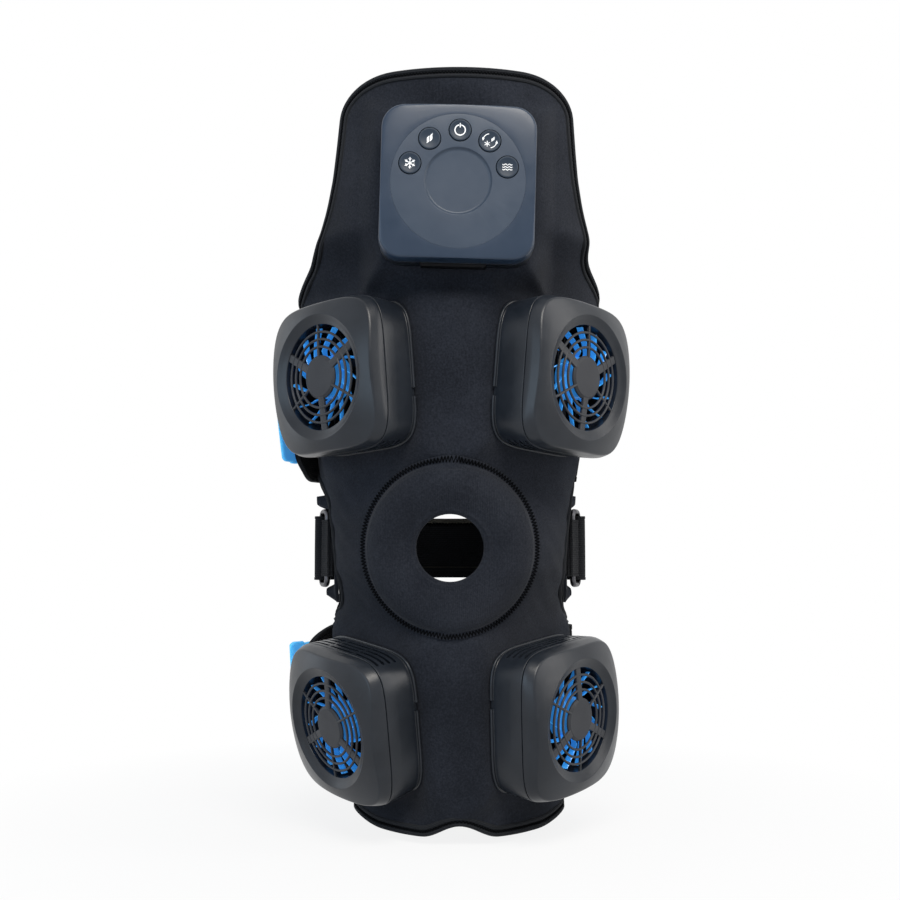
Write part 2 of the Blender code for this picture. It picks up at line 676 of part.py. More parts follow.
def module_housing_mesh(hand):
    wall_top = SEAM_HALF - HOUSING_WALL
    loops = [
        module_loop(WINDOW_HALF + SEAT_GAP, SEAT_GAP, WINDOW_POWER),
        module_loop(BASE_HALF, SEAT_GAP),
        module_loop(BASE_HALF, BASE_RIM_HEIGHT),
        module_loop(WAIST_HALF, WAIST_HEIGHT),
        module_loop(SEAM_HALF, SEAM_HEIGHT),
        module_loop(wall_top, SEAM_HEIGHT),
        module_loop(WAIST_HALF - HOUSING_WALL, FLOOR_HEIGHT),
        module_loop(WINDOW_HALF + SEAT_GAP, FLOOR_HEIGHT, WINDOW_POWER),
    ]
    housing = place("housing_form", mesh_from("housing", loft(loops, ring=True)), "shell")
    rib, half = VENT_RIB_WIDTH / 2, VENT_SLOT_HEIGHT / 2
    rib_edges = [middle + side for middle in (-VENT_RIB_OFFSET, VENT_RIB_OFFSET) for side in (-rib, rib)]
    edges = (-VENT_HALF_LENGTH, *rib_edges, VENT_HALF_LENGTH)
    near, far = SEAM_HALF / sqrt(2), SEAM_HALF + CUT_OVERRUN
    slots = bmesh.new()
    for row in range(VENT_ROWS):
        height = VENT_FIRST_HEIGHT + row * VENT_PITCH
        spans = [(edges[i], edges[i + 1], -far, -near) for i in (0, 2, 4)]
        spans.append((edges[0], edges[5], near, far))
        for left, right, low, high in spans:
            slot = cuboid((left, low, height - half), (right, high, height + half))
            cut = mesh_from("slot", slot)
            slots.from_mesh(cut)
            bpy.data.meshes.remove(cut)
    combine(housing, mesh_from("vent_slots", slots), "DIFFERENCE")
    low_side, high_side = BASE_HALF - NOTCH_DEPTH, BASE_HALF + CUT_OVERRUN
    sides = (low_side, high_side) if hand > 0 else (-high_side, -low_side)
    notch_low, notch_high = NOTCH_OFFSET - NOTCH_WIDTH / 2, NOTCH_OFFSET + NOTCH_WIDTH / 2
    top = WAIST_HEIGHT + BASE_RIM_HEIGHT
    notch = cuboid((sides[0], notch_low, -CUT_OVERRUN), (sides[1], notch_high, top))
    combine(housing, mesh_from("notch", notch), "DIFFERENCE")
    done = settled(housing)
    bpy.data.objects.remove(housing)
    return done


def module_cover_mesh():
    top_half = SEAM_HALF - COVER_DRAFT
    skirt_outer = OPENING_RADIUS + SKIRT_WALL
    lip = DISH_RADIUS + COVER_EDGE_ROUND / 2
    loops = [
        circle(OPENING_RADIUS, SKIRT_BOTTOM, MODULE_POINTS),
        circle(OPENING_RADIUS, OPENING_HEIGHT, MODULE_POINTS),
        circle(DISH_RADIUS, DISH_HEIGHT, MODULE_POINTS),
        circle(lip, crown_height(lip, 0), MODULE_POINTS),
        crown_loop(top_half - COVER_EDGE_ROUND, 0),
        crown_loop(top_half - COVER_EDGE_ROUND / 4, COVER_EDGE_ROUND / 3),
        crown_loop(top_half, COVER_EDGE_ROUND),
        module_loop(SEAM_HALF, SEAM_HEIGHT + SEAM_GROOVE),
        module_loop(SEAM_HALF - COVER_WALL, SEAM_HEIGHT + SEAM_GROOVE),
        crown_loop(top_half - COVER_WALL, COVER_EDGE_ROUND + COVER_WALL),
        circle(skirt_outer, OPENING_HEIGHT - COVER_WALL, MODULE_POINTS),
        circle(skirt_outer, SKIRT_BOTTOM, MODULE_POINTS),
    ]
    return mesh_from("fan_cover", loft(loops, ring=True))


def grille_mesh():
    """Hub cap, three rings and six radial bars as one flat moulding, laid out cell by cell in polar steps."""
    ring_radii = [OPENING_RADIUS * share for share in GRILLE_RING_SHARES]
    radii = [HUB_CAP_RADIUS]
    for radius in ring_radii:
        radii += [radius - GRILLE_RING_WIDTH / 2, radius + GRILLE_RING_WIDTH / 2]
    radii.append(OPENING_RADIUS - SEAT_GAP)
    bars = []
    for i in range(2 * SPOKE_PAIRS):
        bars.append((pi / 6 + i * pi / SPOKE_PAIRS, SPOKE_WIDTH / 2 if i % 2 == 0 else RIB_WIDTH / 2))

    def angles_at(radius):
        edges = []
        for i, (middle, half) in enumerate(bars):
            following, next_half = bars[(i + 1) % len(bars)]
            start = middle + half / radius
            span = (following - middle) % (2 * pi) - (half + next_half) / radius
            edges.append(middle - half / radius)
            edges += [start + span * step / GRILLE_ARC_STEPS for step in range(GRILLE_ARC_STEPS)]
        return edges

    def height_at(radius):
        share = (radius - HUB_CAP_RADIUS) / (OPENING_RADIUS - HUB_CAP_RADIUS)
        return HUB_CAP_HEIGHT + (OPENING_HEIGHT - HUB_CAP_HEIGHT) * share

    builder = bmesh.new()
    tops, bottoms = [], []
    for radius in radii:
        angles, height = angles_at(radius), height_at(radius)
        tops.append([builder.verts.new((radius * cos(a), radius * sin(a), height)) for a in angles])
        low = height - GRILLE_THICKNESS
        bottoms.append([builder.verts.new((radius * cos(a), radius * sin(a), low)) for a in angles])
    count, period = len(tops[0]), GRILLE_ARC_STEPS + 1

    def solid(band, cell):
        if band < 0 or band >= len(radii) - 1:
            return band < 0
        return band % 2 == 1 or cell % period == 0

    for band in range(len(radii) - 1):
        for cell in range(count):
            if not solid(band, cell):
                continue
            after = (cell + 1) % count
            inner, outer = tops[band], tops[band + 1]
            builder.faces.new((inner[cell], outer[cell], outer[after], inner[after]))
            inner_low, outer_low = bottoms[band], bottoms[band + 1]
            builder.faces.new((inner_low[cell], inner_low[after], outer_low[after], outer_low[cell]))
            if not solid(band, (cell - 1) % count):
                builder.faces.new((inner[cell], inner_low[cell], outer_low[cell], outer[cell]))
            if not solid(band, after):
                builder.faces.new((inner[after], outer[after], outer_low[after], inner_low[after]))
    for edge in range(len(radii)):
        for cell in range(count):
            inside, outside = solid(edge - 1, cell), solid(edge, cell)
            if inside == outside:
                continue
            after = (cell + 1) % count
            high, low = tops[edge], bottoms[edge]
            builder.faces.new((high[cell], high[after], low[after], low[cell]))
    centre = builder.verts.new((0, 0, HUB_CAP_HEIGHT - HUB_CAP_DISH))
    for cell in range(count):
        builder.faces.new((centre, tops[0][cell], tops[0][(cell + 1) % count]))
    builder.faces.new(bottoms[0])
    return mesh_from("grille", builder)


def impeller_mesh(hand):
    inner = IMPELLER_HUB_RADIUS - IMPELLER_HUB_WALL
    under = IMPELLER_HUB_TOP - IMPELLER_HUB_WALL
    profile = [
        (SHAFT_RADIUS, SHAFT_BOTTOM), (SHAFT_RADIUS, under), (inner, under), (inner, IMPELLER_HUB_BOTTOM),
        (IMPELLER_HUB_RADIUS, IMPELLER_HUB_BOTTOM),
        (IMPELLER_HUB_RADIUS, IMPELLER_HUB_TOP - IMPELLER_HUB_ROUND),
        (IMPELLER_HUB_RADIUS - IMPELLER_HUB_ROUND, IMPELLER_HUB_TOP),
    ]
    impeller = place("impeller_form", mesh_from("impeller", turned(profile, BLADE_COUNT)), "blue")
    blades = bmesh.new()
    root = inner + BLADE_ROOT_SINK
    rise = BLADE_TOP - BLADE_BOTTOM
    for i in range(BLADE_COUNT):
        middle = 2 * pi * (i + 0.5) / BLADE_COUNT
        loops = []
        for radius, lean in ((root, BLADE_ROOT_ANGLE), (BLADE_TIP_RADIUS, BLADE_TIP_ANGLE)):
            half = rise * tan(radians(lean)) / 2
            skew = BLADE_THICKNESS / cos(radians(lean)) / 2
            low, high = (IMPELLER_HUB_BOTTOM + IMPELLER_HUB_WALL, IMPELLER_HUB_TOP - IMPELLER_HUB_ROUND)
            if radius > root:
                low, high = BLADE_BOTTOM, BLADE_TOP
            corners = [(-half - skew, low), (-half + skew, low), (half + skew, high), (half - skew, high)]
            turns = [(middle + hand * offset / radius, height) for offset, height in corners]
            loops.append([(radius * cos(turn), radius * sin(turn), height) for turn, height in turns])
        blade = mesh_from("blade", loft(loops))
        blades.from_mesh(blade)
        bpy.data.meshes.remove(blade)
    combine(impeller, mesh_from("blades", blades), "UNION")
    done = settled(impeller)
    bpy.data.objects.remove(impeller)
    return done


def motor_mesh():
    bore = (SHAFT_RADIUS + SHAFT_GAP) / cos(pi / TURNED_SEGMENTS)
    top = IMPELLER_HUB_TOP - IMPELLER_HUB_WALL - 2 * RUNNING_GAP
    floor = MOTOR_BOTTOM + MOTOR_FLOOR
    profile = [(MOTOR_RADIUS, MOTOR_BOTTOM), (MOTOR_RADIUS, top), (bore, top), (bore, floor)]
    motor = place("motor_form", mesh_from("motor", turned(profile, TURNED_SEGMENTS)), "shell")
    foot_end = OPENING_RADIUS + SKIRT_WALL
    foot_start = foot_end - STRUT_FOOT_LENGTH
    strut_top, foot_top = MOTOR_BOTTOM + STRUT_THICKNESS, SKIRT_BOTTOM - SEAT_GAP
    start = MOTOR_RADIUS - STRUT_THICKNESS
    outline = [
        (start, MOTOR_BOTTOM), (foot_end, MOTOR_BOTTOM), (foot_end, foot_top),
        (foot_start, foot_top), (foot_start, strut_top), (start, strut_top),
    ]
    struts = bmesh.new()
    for i in range(STRUT_COUNT):
        turn = Matrix.Rotation(-pi / 2 + 2 * pi * i / STRUT_COUNT, 4, "Z")
        loops = [[turn @ Vector((x, side * STRUT_WIDTH / 2, z)) for x, z in outline] for side in (-1, 1)]
        strut = mesh_from("strut", loft(loops))
        struts.from_mesh(strut)
        bpy.data.meshes.remove(strut)
    combine(motor, mesh_from("struts", struts), "UNION")
    done = settled(motor)
    bpy.data.objects.remove(motor)
    return done


def heat_sink_mesh():
    """A comb of fins on a base, extruded so that air runs through to the vents."""
    base = FLOOR_HEIGHT + SEAT_GAP
    fin_root = base + SINK_BASE
    pitch = (2 * SINK_HALF - SINK_FIN_THICKNESS) / (SINK_FIN_COUNT - 1)
    outline = [(-SINK_HALF, base), (SINK_HALF, base)]
    for i in reversed(range(SINK_FIN_COUNT)):
        left = -SINK_HALF + i * pitch
        right = left + SINK_FIN_THICKNESS
        if i < SINK_FIN_COUNT - 1:
            outline.append((right, fin_root))
        outline += [(right, SINK_TOP), (left, SINK_TOP)]
        if i > 0:
            outline.append((left, fin_root))
    loops = [[(x, side * SINK_HALF, z) for x, z in outline] for side in (-1, 1)]
    return mesh_from("heat_sink", loft(loops))


def cold_plate_mesh():
    """A plate against the leg with a block that reaches up through the cloth's window."""
    plate_top = -SEAT_GAP - WRAP_THICKNESS - COLD_PLATE_GAP
    plate_bottom = plate_top - COLD_PLATE_THICKNESS
    block, block_corner = WINDOW_HALF - SEAT_GAP - RUNNING_GAP, COLD_PLATE_CORNER / 4
    loops = [
        rounded_square(COLD_PLATE_HALF - SMALL_ROUND, COLD_PLATE_CORNER, plate_bottom, PLATE_CORNER_STEPS),
        rounded_square(COLD_PLATE_HALF, COLD_PLATE_CORNER, plate_bottom + SMALL_ROUND, PLATE_CORNER_STEPS),
        rounded_square(COLD_PLATE_HALF, COLD_PLATE_CORNER, plate_top, PLATE_CORNER_STEPS),
        rounded_square(block, block_corner, plate_top, PLATE_CORNER_STEPS),
        rounded_square(block, block_corner, COLD_BLOCK_TOP, PLATE_CORNER_STEPS),
    ]
    return mesh_from("cold_plate", loft(loops))


def peltier_mesh():
    low = COLD_BLOCK_TOP + SEAT_GAP
    corner = (PELTIER_HALF, PELTIER_HALF, low + PELTIER_THICKNESS)
    return mesh_from("peltier", cuboid((-PELTIER_HALF, -PELTIER_HALF, low), corner))


def build_modules():
    shared = {
        "fan_cover": (module_cover_mesh(), "shell"),
        "grille": (grille_mesh(), "shell"),
        "fan_motor": (motor_mesh(), "shell"),
        "heat_sink": (heat_sink_mesh(), "aluminium"),
        "peltier": (peltier_mesh(), "ceramic"),
        "cold_plate": (cold_plate_mesh(), "aluminium"),
    }
    handed = {hand: (module_housing_mesh(hand), impeller_mesh(hand)) for hand in (1, -1)}
    for name, seat in SEATS.items():
        frame = frame_empty("seat_" + name, SEAT_MATRICES[name])
        for piece, (mesh, finish) in shared.items():
            place(f"{piece}_{name}", mesh, finish, frame)
        housing, impeller = handed[seat["hand"]]
        place("housing_" + name, housing, "shell", frame)
        place("impeller_" + name, impeller, "blue", frame)


def port_cuboid(half_width, depths, heights):
    """A block in line with the charging port, from one depth to the other and between two heights."""
    left, right = PORT_COVER_ASIDE - half_width, PORT_COVER_ASIDE + half_width
    return cuboid((left, depths[0], heights[0]), (right, depths[1], heights[1]))


def build_control_back(frame):
    half, corner = CONTROL_HALF, CONTROL_CORNER
    inside, inside_corner = half - CONTROL_WALL, corner - CONTROL_WALL
    loops = [
        rounded_square(half - FACE_EDGE_ROUND, corner - FACE_EDGE_ROUND, SEAT_GAP),
        rounded_square(half, corner, SEAT_GAP + FACE_EDGE_ROUND),
        rounded_square(half, corner, CONTROL_SPLIT),
        rounded_square(inside, inside_corner, CONTROL_SPLIT),
        rounded_square(inside, inside_corner, CONTROL_FLOOR),
    ]
    back = place("control_back", mesh_from("control_back", loft(loops)), "shell", frame)
    board_low = board_bottom()
    offset = BOARD_HALF * BOSS_OFFSET_SHARE
    bosses = bmesh.new()
    for x, y in ((-1, -1), (1, -1), (1, 1), (-1, 1)):
        boss = turned([(BOSS_RADIUS, SEAT_GAP * 2), (BOSS_RADIUS, board_low - SEAT_GAP)], 8)
        bmesh.ops.translate(boss, vec=(x * offset, y * offset, 0), verts=boss.verts)
        part = mesh_from("boss", boss)
        bosses.from_mesh(part)
        bpy.data.meshes.remove(part)
    combine(back, mesh_from("bosses", bosses), "UNION")
    side = PORT_COVER_WIDTH / 2 + SEAT_GAP
    low, high = PORT_COVER_BACK - SEAT_GAP, PORT_COVER_BACK + PORT_COVER_LENGTH + SEAT_GAP
    recess = port_cuboid(side, (-half - CUT_OVERRUN, -half + PORT_RECESS), (low, high))
    combine(back, mesh_from("port_recess", recess), "DIFFERENCE")
    middle, rise = (low + high) / 2, SOCKET_HEIGHT / 2 + SEAT_GAP
    depths = (-half - CUT_OVERRUN, -half + 2 * CONTROL_WALL)
    mouth = port_cuboid(SOCKET_WIDTH / 2 + SEAT_GAP, depths, (middle - rise, middle + rise))
    combine(back, mesh_from("port_mouth", mouth), "DIFFERENCE")
    settled(back)


def board_bottom():
    under_face = dial_floor() - FACE_SKIN - SEAT_GAP
    return under_face - BUTTON_FLANGE_THICKNESS - BUTTON_TRAVEL_ROOM - BOARD_THICKNESS


def dial_floor():
    """The height of the round pocket's floor that the dial plate lies in."""
    return CONTROL_DEPTH - DIAL_THICKNESS - SEAT_GAP


def button_places():
    for name, angle in BUTTON_ANGLES.items():
        turn = radians(angle - BUTTON_TURN)
        yield name, BUTTON_CIRCLE_RADIUS * cos(turn), BUTTON_CIRCLE_RADIUS * sin(turn)


def button_holes(low, high):
    holes = bmesh.new()
    for _, x, y in button_places():
        radius = BUTTON_RADIUS + RUNNING_GAP
        hole = turned([(radius, low), (radius, high)], BUTTON_POINTS)
        bmesh.ops.translate(hole, vec=(x, y, 0), verts=hole.verts)
        part = mesh_from("hole", hole)
        holes.from_mesh(part)
        bpy.data.meshes.remove(part)
    return mesh_from("button_holes", holes)


def build_control_cover(frame):
    half, corner = CONTROL_HALF, CONTROL_CORNER
    inside, inside_corner = half - CONTROL_WALL, corner - CONTROL_WALL
    seam, pocket, points = CONTROL_SPLIT + SEAM_GROOVE, dial_floor(), 4 * CORNER_STEPS
    bevel = FACE_EDGE_ROUND / 3
    turn = Matrix.Rotation(pi / points, 4, "Z")
    pocket_radius = DIAL_RADIUS + SEAT_GAP

    def pocket_loop(height):
        return [turn @ Vector(point) for point in circle(pocket_radius, height, points)]

    loops = [
        rounded_square(inside, inside_corner, pocket - FACE_SKIN),
        rounded_square(inside, inside_corner, seam),
        rounded_square(half, corner, seam),
        rounded_square(half, corner, CONTROL_DEPTH - FACE_EDGE_ROUND),
        rounded_square(half - bevel, corner - bevel, CONTROL_DEPTH - bevel),
        rounded_square(half - FACE_EDGE_ROUND, corner - FACE_EDGE_ROUND, CONTROL_DEPTH),
        pocket_loop(CONTROL_DEPTH),
        pocket_loop(pocket),
    ]
    cover = place("control_cover", mesh_from("control_cover", loft(loops)), "face", frame)
    combine(cover, button_holes(pocket - FACE_SKIN - CUT_OVERRUN, CONTROL_DEPTH), "DIFFERENCE")
    settled(cover)


def build_dial_plate(frame):
    low, high = dial_floor() + SEAT_GAP, CONTROL_DEPTH
    floor = high - DIAL_DISH_DEPTH
    profile = [
        (DIAL_RADIUS, low), (DIAL_RADIUS, high), (DIAL_DISH_RADIUS, high),
        (DIAL_DISH_RADIUS - DIAL_DISH_DEPTH, (2 * floor + high) / 3), (DIAL_DISH_RADIUS / 2, floor),
    ]
    plate = place("dial_plate", mesh_from("dial_plate", turned(profile, DIAL_SEGMENTS)), "dial", frame)
    combine(plate, button_holes(low - CUT_OVERRUN, high + CUT_OVERRUN), "DIFFERENCE")
    settled(plate)


def build_buttons(frame):
    flange_top = dial_floor() - FACE_SKIN - SEAT_GAP
    top = CONTROL_DEPTH + BUTTON_STAND
    flange_radius = BUTTON_RADIUS + BUTTON_FLANGE
    profile = [
        (flange_radius, flange_top - BUTTON_FLANGE_THICKNESS), (flange_radius, flange_top),
        (BUTTON_RADIUS, flange_top), (BUTTON_RADIUS, top - BUTTON_ROUND), (BUTTON_RADIUS - BUTTON_ROUND, top),
    ]
    mesh = mesh_from("button", turned(profile, BUTTON_POINTS))
    for name, x, y in button_places():
        button = place("button_" + name, mesh, "button", frame)
        button.location = (x, y, 0)


def build_control_inside(frame):
    low = board_bottom()
    outline = [(x, y) for x, y, _ in rounded_square(BOARD_HALF, CONTROL_CORNER - 2 * CONTROL_WALL, low)]
    board = prism(outline, low, low + BOARD_THICKNESS)
    place("circuit_board", mesh_from("circuit_board", board), "board", frame)
    half_width, half_length = BATTERY_WIDTH / 2, BATTERY_LENGTH / 2
    floor = CONTROL_FLOOR + SEAT_GAP
    battery = cuboid((-half_width, -half_length, floor), (half_width, half_length, floor + BATTERY_THICKNESS))
    bmesh.ops.bevel(battery, geom=battery.edges, offset=3 * SMALL_ROUND, segments=1, affect="EDGES")
    place("battery", mesh_from("battery", battery), "cell", frame)


def build_port(frame):
    half_width = PORT_COVER_WIDTH / 2
    outer = -CONTROL_HALF + PORT_RECESS - SEAT_GAP
    flap = cuboid((-half_width, -PORT_COVER_THICKNESS, 0), (half_width, 0, PORT_COVER_LENGTH))
    bmesh.ops.bevel(flap, geom=flap.edges, offset=SMALL_ROUND, segments=1, affect="EDGES")
    inset = PORT_COVER_THICKNESS / 2
    axis = Vector((PORT_COVER_ASIDE, outer - inset, PORT_COVER_BACK + inset))
    bmesh.ops.translate(flap, vec=(0, inset, -inset), verts=flap.verts)
    cover = place("port_cover", mesh_from("port_cover", flap), "shell", frame)
    cover.location = axis
    middle = PORT_COVER_BACK + PORT_COVER_LENGTH / 2
    width, height = SOCKET_WIDTH / 2, SOCKET_HEIGHT / 2
    start = -CONTROL_HALF + PORT_RECESS
    socket = port_cuboid(width, (start, start + SOCKET_LENGTH), (middle - height, middle + height))
    shell = place("charge_socket", mesh_from("charge_socket", socket), "steel", frame)
    width, height = width - SOCKET_WALL, height - SOCKET_WALL
    depths = (start - CUT_OVERRUN, start + SOCKET_LENGTH - SOCKET_WALL)
    bore = port_cuboid(width, depths, (middle - height, middle + height))
    combine(shell, mesh_from("socket_bore", bore), "DIFFERENCE")
    settled(shell)


def build_control():
    frame = frame_empty("control", CONTROL_MATRIX)
    build_control_back(frame)
    build_control_cover(frame)
    build_dial_plate(frame)
    build_buttons(frame)
    build_control_inside(frame)
    build_port(frame)


def build_side_patch(side, sign):
    """A stretch panel in the notch beside the knee, its four corners pulled out by the ring."""
    outer, inner = [], []
    for z in [PATCH_HALF_HEIGHT * share for share in PATCH_ROW_SHARES]:
        first = edge_angle(z) + degrees(4 * SEAT_GAP / KNEE_RADIUS)
        corner = fade(abs(z), PATCH_CALM_HALF_HEIGHT, PATCH_HALF_HEIGHT)
        flare = PATCH_FLARES[side][0 if z > 0 else 1]
        last = max(PATCH_BACK_ANGLE - 4 * corner, first + 2)
        rows = ([], [])
        for step in range(PATCH_STEPS + 1):
            angle = first + (last - first) * step / PATCH_STEPS
            pull = fade(angle, edge_angle(0), PATCH_BACK_ANGLE)
            pull *= fade(abs(z), PATCH_CALM_HALF_HEIGHT, PATCH_HALF_HEIGHT * PATCH_PULL_SHARE)
            for row, depth in zip(rows, (0, PATCH_THICKNESS)):
                row.append(leg_axis(z) + heading(sign * angle) * (KNEE_RADIUS + flare * pull - depth))
        outer.append(rows[0])
        inner.append(rows[1])
    place("side_patch_" + side, mesh_from("side_patch", sheet(outer, inner)), "knit")


def flat_point(point, z):
    return Vector((point[0], point[1], z))


def ribbon(name, path, thickness, half_height, finish):
    """A webbing ribbon standing on edge along a level path."""
    left, right = [], []
    for i, point in enumerate(path):
        before, after = path[max(i - 1, 0)], path[min(i + 1, len(path) - 1)]
        run = (after - before).normalized()
        aside = Vector((-run.y, run.x, 0)) * (thickness / 2)
        left.append(point + aside)
        right.append(point - aside)
    loops = [[flat_point(point, z) for point in left + right[::-1]] for z in (-half_height, half_height)]
    return place(name, mesh_from(name, loft(loops)), finish)


def arc_path(centre, radius, start, end, steps):
    return [centre + heading(start + (end - start) * i / steps) * radius for i in range(steps + 1)]


def ring_bars(sign):
    """The middles of the ring's front and rear bars, in plan."""
    keeper_loop = RING_WIRE_RADIUS + RUNNING_GAP + KEEPER_THICKNESS / 2
    lie = KNEE_RADIUS + 2 * SEAT_GAP + KEEPER_THICKNESS / 2
    front_angle = KEEPER_START_ANGLE + 10
    front = heading(sign * front_angle) * (lie + keeper_loop + SEAT_GAP)
    reach = heading(sign * (front_angle + 90 - RING_SWING)) * RING_REACH
    return front, front + reach


def build_keeper(side, sign):
    front, _ = ring_bars(sign)
    loop = RING_WIRE_RADIUS + RUNNING_GAP + KEEPER_THICKNESS / 2
    lie = KNEE_RADIUS + 2 * SEAT_GAP + KEEPER_THICKNESS / 2
    front_angle = KEEPER_START_ANGLE + 10
    path = arc_path(Vector((0, 0, 0)), lie, sign * KEEPER_START_ANGLE, sign * (front_angle - 2), 4)
    path += arc_path(front, loop, sign * (front_angle + 180), sign * (front_angle - 45), 9)
    over = lie + KEEPER_THICKNESS + RUNNING_GAP
    path += arc_path(Vector((0, 0, 0)), over, sign * (front_angle - 6), sign * KEEPER_START_ANGLE, 2)
    ribbon("ring_keeper_" + side, path, KEEPER_THICKNESS, KEEPER_HALF_HEIGHT, "webbing")


def build_ring(side, sign):
    """A flat wire ring with round corners, tilted off the leg by the strap's pull."""
    front, rear = ring_bars(sign)
    half, corner = RING_HALF_HEIGHT, RING_CORNER_RADIUS
    along = (rear - front).normalized()
    middle, reach = (front + rear) / 2, RING_REACH / 2
    points = []
    for cross, rise, start in ((1, 1, 0), (-1, 1, 90), (-1, -1, 180), (1, -1, 270)):
        for step in range(4):
            turn = radians(start + 30 * step)
            x = cross * (reach - corner) + corner * cos(turn)
            z = rise * (half - corner) + corner * sin(turn)
            points.append(middle + along * x + Vector((0, 0, z)))
    curve = bpy.data.curves.new("strap_ring_" + side, "CURVE")
    curve.dimensions = "3D"
    curve.bevel_depth = RING_WIRE_RADIUS
    curve.bevel_resolution = 1
    spline = curve.splines.new("POLY")
    spline.points.add(len(points) - 1)
    for target, point in zip(spline.points, points):
        target.co = (*point, 1)
    spline.use_cyclic_u = True
    ring = bpy.data.objects.new("strap_ring_" + side, curve)
    bpy.context.scene.collection.objects.link(ring)
    curve.materials.append(material("steel"))


def strap_half_path(sign):
    """From behind the knee forwards, round the ring's rear bar, and back along itself."""
    _, bar = ring_bars(sign)
    loop = RING_WIRE_RADIUS + RUNNING_GAP + STRAP_THICKNESS / 2
    lie = KNEE_RADIUS + STRAP_LIFT + STRAP_THICKNESS / 2
    bar_angle = degrees(atan2(abs(bar.x), -bar.y))
    tangent = sqrt(max(bar.length_squared - (lie + loop) ** 2, SEAT_GAP ** 2))
    leave = bar_angle + degrees(pi / 2 - atan2(lie + loop, tangent))
    path = arc_path(Vector((0, 0, 0)), lie, sign * 180, sign * leave, 8)
    path += arc_path(bar, loop, sign * (leave + 180), sign * (leave + 400), 9)
    over = lie + STRAP_THICKNESS + 2 * RUNNING_GAP
    path += arc_path(Vector((0, 0, 0)), over, sign * leave, sign * (leave + STRAP_FOLD_ANGLE), 4)
    return path


def build_middle_strap():
    path = list(reversed(strap_half_path(-1))) + strap_half_path(1)[1:]
    ribbon("middle_strap", path, STRAP_THICKNESS, MIDDLE_STRAP_HALF_HEIGHT, "webbing")


def strap_point(angle, z, leave, lift):
    """A point of a wide strap: on the cloth until it leaves it along a tangent."""
    past = max(angle - leave, 0)
    point = on_cloth(angle, z, lift)
    centre = leg_axis(point.z)
    return centre + (point - centre) / cos(radians(past))


def build_wide_strap(name, height, leave, end):
    """A wide strap sewn behind the right edge of the wrap, round the back of the leg to the left side."""
    radius = curve_through(HALF_WIDTHS, height)
    corner_turn = degrees(STRAP_CORNER_LENGTH / (radius / cos(radians(end - leave)) ** 2))
    span = end - corner_turn - STRAP_START_ANGLE
    angles = [STRAP_START_ANGLE + span * i / STRAP_STEPS for i in range(STRAP_STEPS)]
    angles += [end - corner_turn * share for share in STRAP_CORNER_SHARES]
    outer, inner = [], []
    for share in STRAP_ROW_SHARES:
        rows = ([], [])
        for angle in angles:
            past = max(1 - (end - angle) / corner_turn, 0)
            half = STRAP_HALF_HEIGHT - STRAP_CORNER_DROP * (1 - sqrt(max(1 - past * past, 0)))
            z = height + half * share
            rows[0].append(strap_point(angle, z, leave, STRAP_LIFT + STRAP_THICKNESS))
            rows[1].append(strap_point(angle, z, leave, STRAP_LIFT))
        outer.append(rows[0])
        inner.append(rows[1])
    place(name, mesh_from(name, sheet(outer, inner)), "webbing")


def build_pull_tab(name, height, leave, end):
    """A moulded tab on the outside of a strap's free end, bent out for the fingers."""
    radius = curve_through(HALF_WIDTHS, height) / cos(radians(end - leave)) ** 2
    bend = radians(TAB_BEND)
    surface = STRAP_LIFT + STRAP_THICKNESS + 3 * SEAT_GAP
    outer, inner = [], []
    for share in TAB_ROW_SHARES:
        z = height + TAB_HALF_HEIGHT * share
        trim = TAB_THICKNESS if abs(share) == 1 else 0
        rows = ([], [])
        for reach in (-TAB_OVERLAP + trim, -TAB_OVERLAP / 2, 0):
            angle = end + degrees(reach / radius)
            rows[0].append(strap_point(angle, z, leave, surface + TAB_THICKNESS))
            rows[1].append(strap_point(angle, z, leave, surface))
        run = (rows[1][2] - rows[1][1]).normalized()
        out = (rows[0][2] - rows[1][2]).normalized()
        for reach in (TAB_REACH / 3, TAB_REACH * 2 / 3, TAB_REACH - trim):
            step = run * (reach * cos(bend)) + out * (reach * sin(bend))
            rows[0].append(rows[0][2] + step)
            rows[1].append(rows[1][2] + step)
        outer.append(rows[0])
        inner.append(rows[1])
    place(name, mesh_from(name, sheet(outer, inner)), "blue")


def main():
    clear_scene()
    build_wrap()
    build_patella_pad()
    build_modules()
    build_control()
    for side, sign in SIDES.items():
        build_side_patch(side, sign)
        build_keeper(side, sign)
        build_ring(side, sign)
    build_middle_strap()
    build_wide_strap("upper_strap", UPPER_STRAP_HEIGHT, UPPER_STRAP_LEAVE_ANGLE, UPPER_STRAP_END_ANGLE)
    build_wide_strap("lower_strap", LOWER_STRAP_HEIGHT, LOWER_STRAP_LEAVE_ANGLE, LOWER_STRAP_END_ANGLE)
    build_pull_tab("upper_pull_tab", UPPER_STRAP_HEIGHT, UPPER_STRAP_LEAVE_ANGLE, UPPER_STRAP_END_ANGLE)
    build_pull_tab("lower_pull_tab", LOWER_STRAP_HEIGHT, LOWER_STRAP_LEAVE_ANGLE, LOWER_STRAP_END_ANGLE)


main()
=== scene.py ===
"""The looks of the hot and cold therapy wrap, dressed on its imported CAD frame.
Metres, +Z up. The front faces -Y, and the origin is the centre of the knee."""

from math import atan, atan2, cos, degrees, pi, radians, sin, sqrt, tan

import bmesh
import bpy
import numpy as np
from mathutils import Matrix, Vector


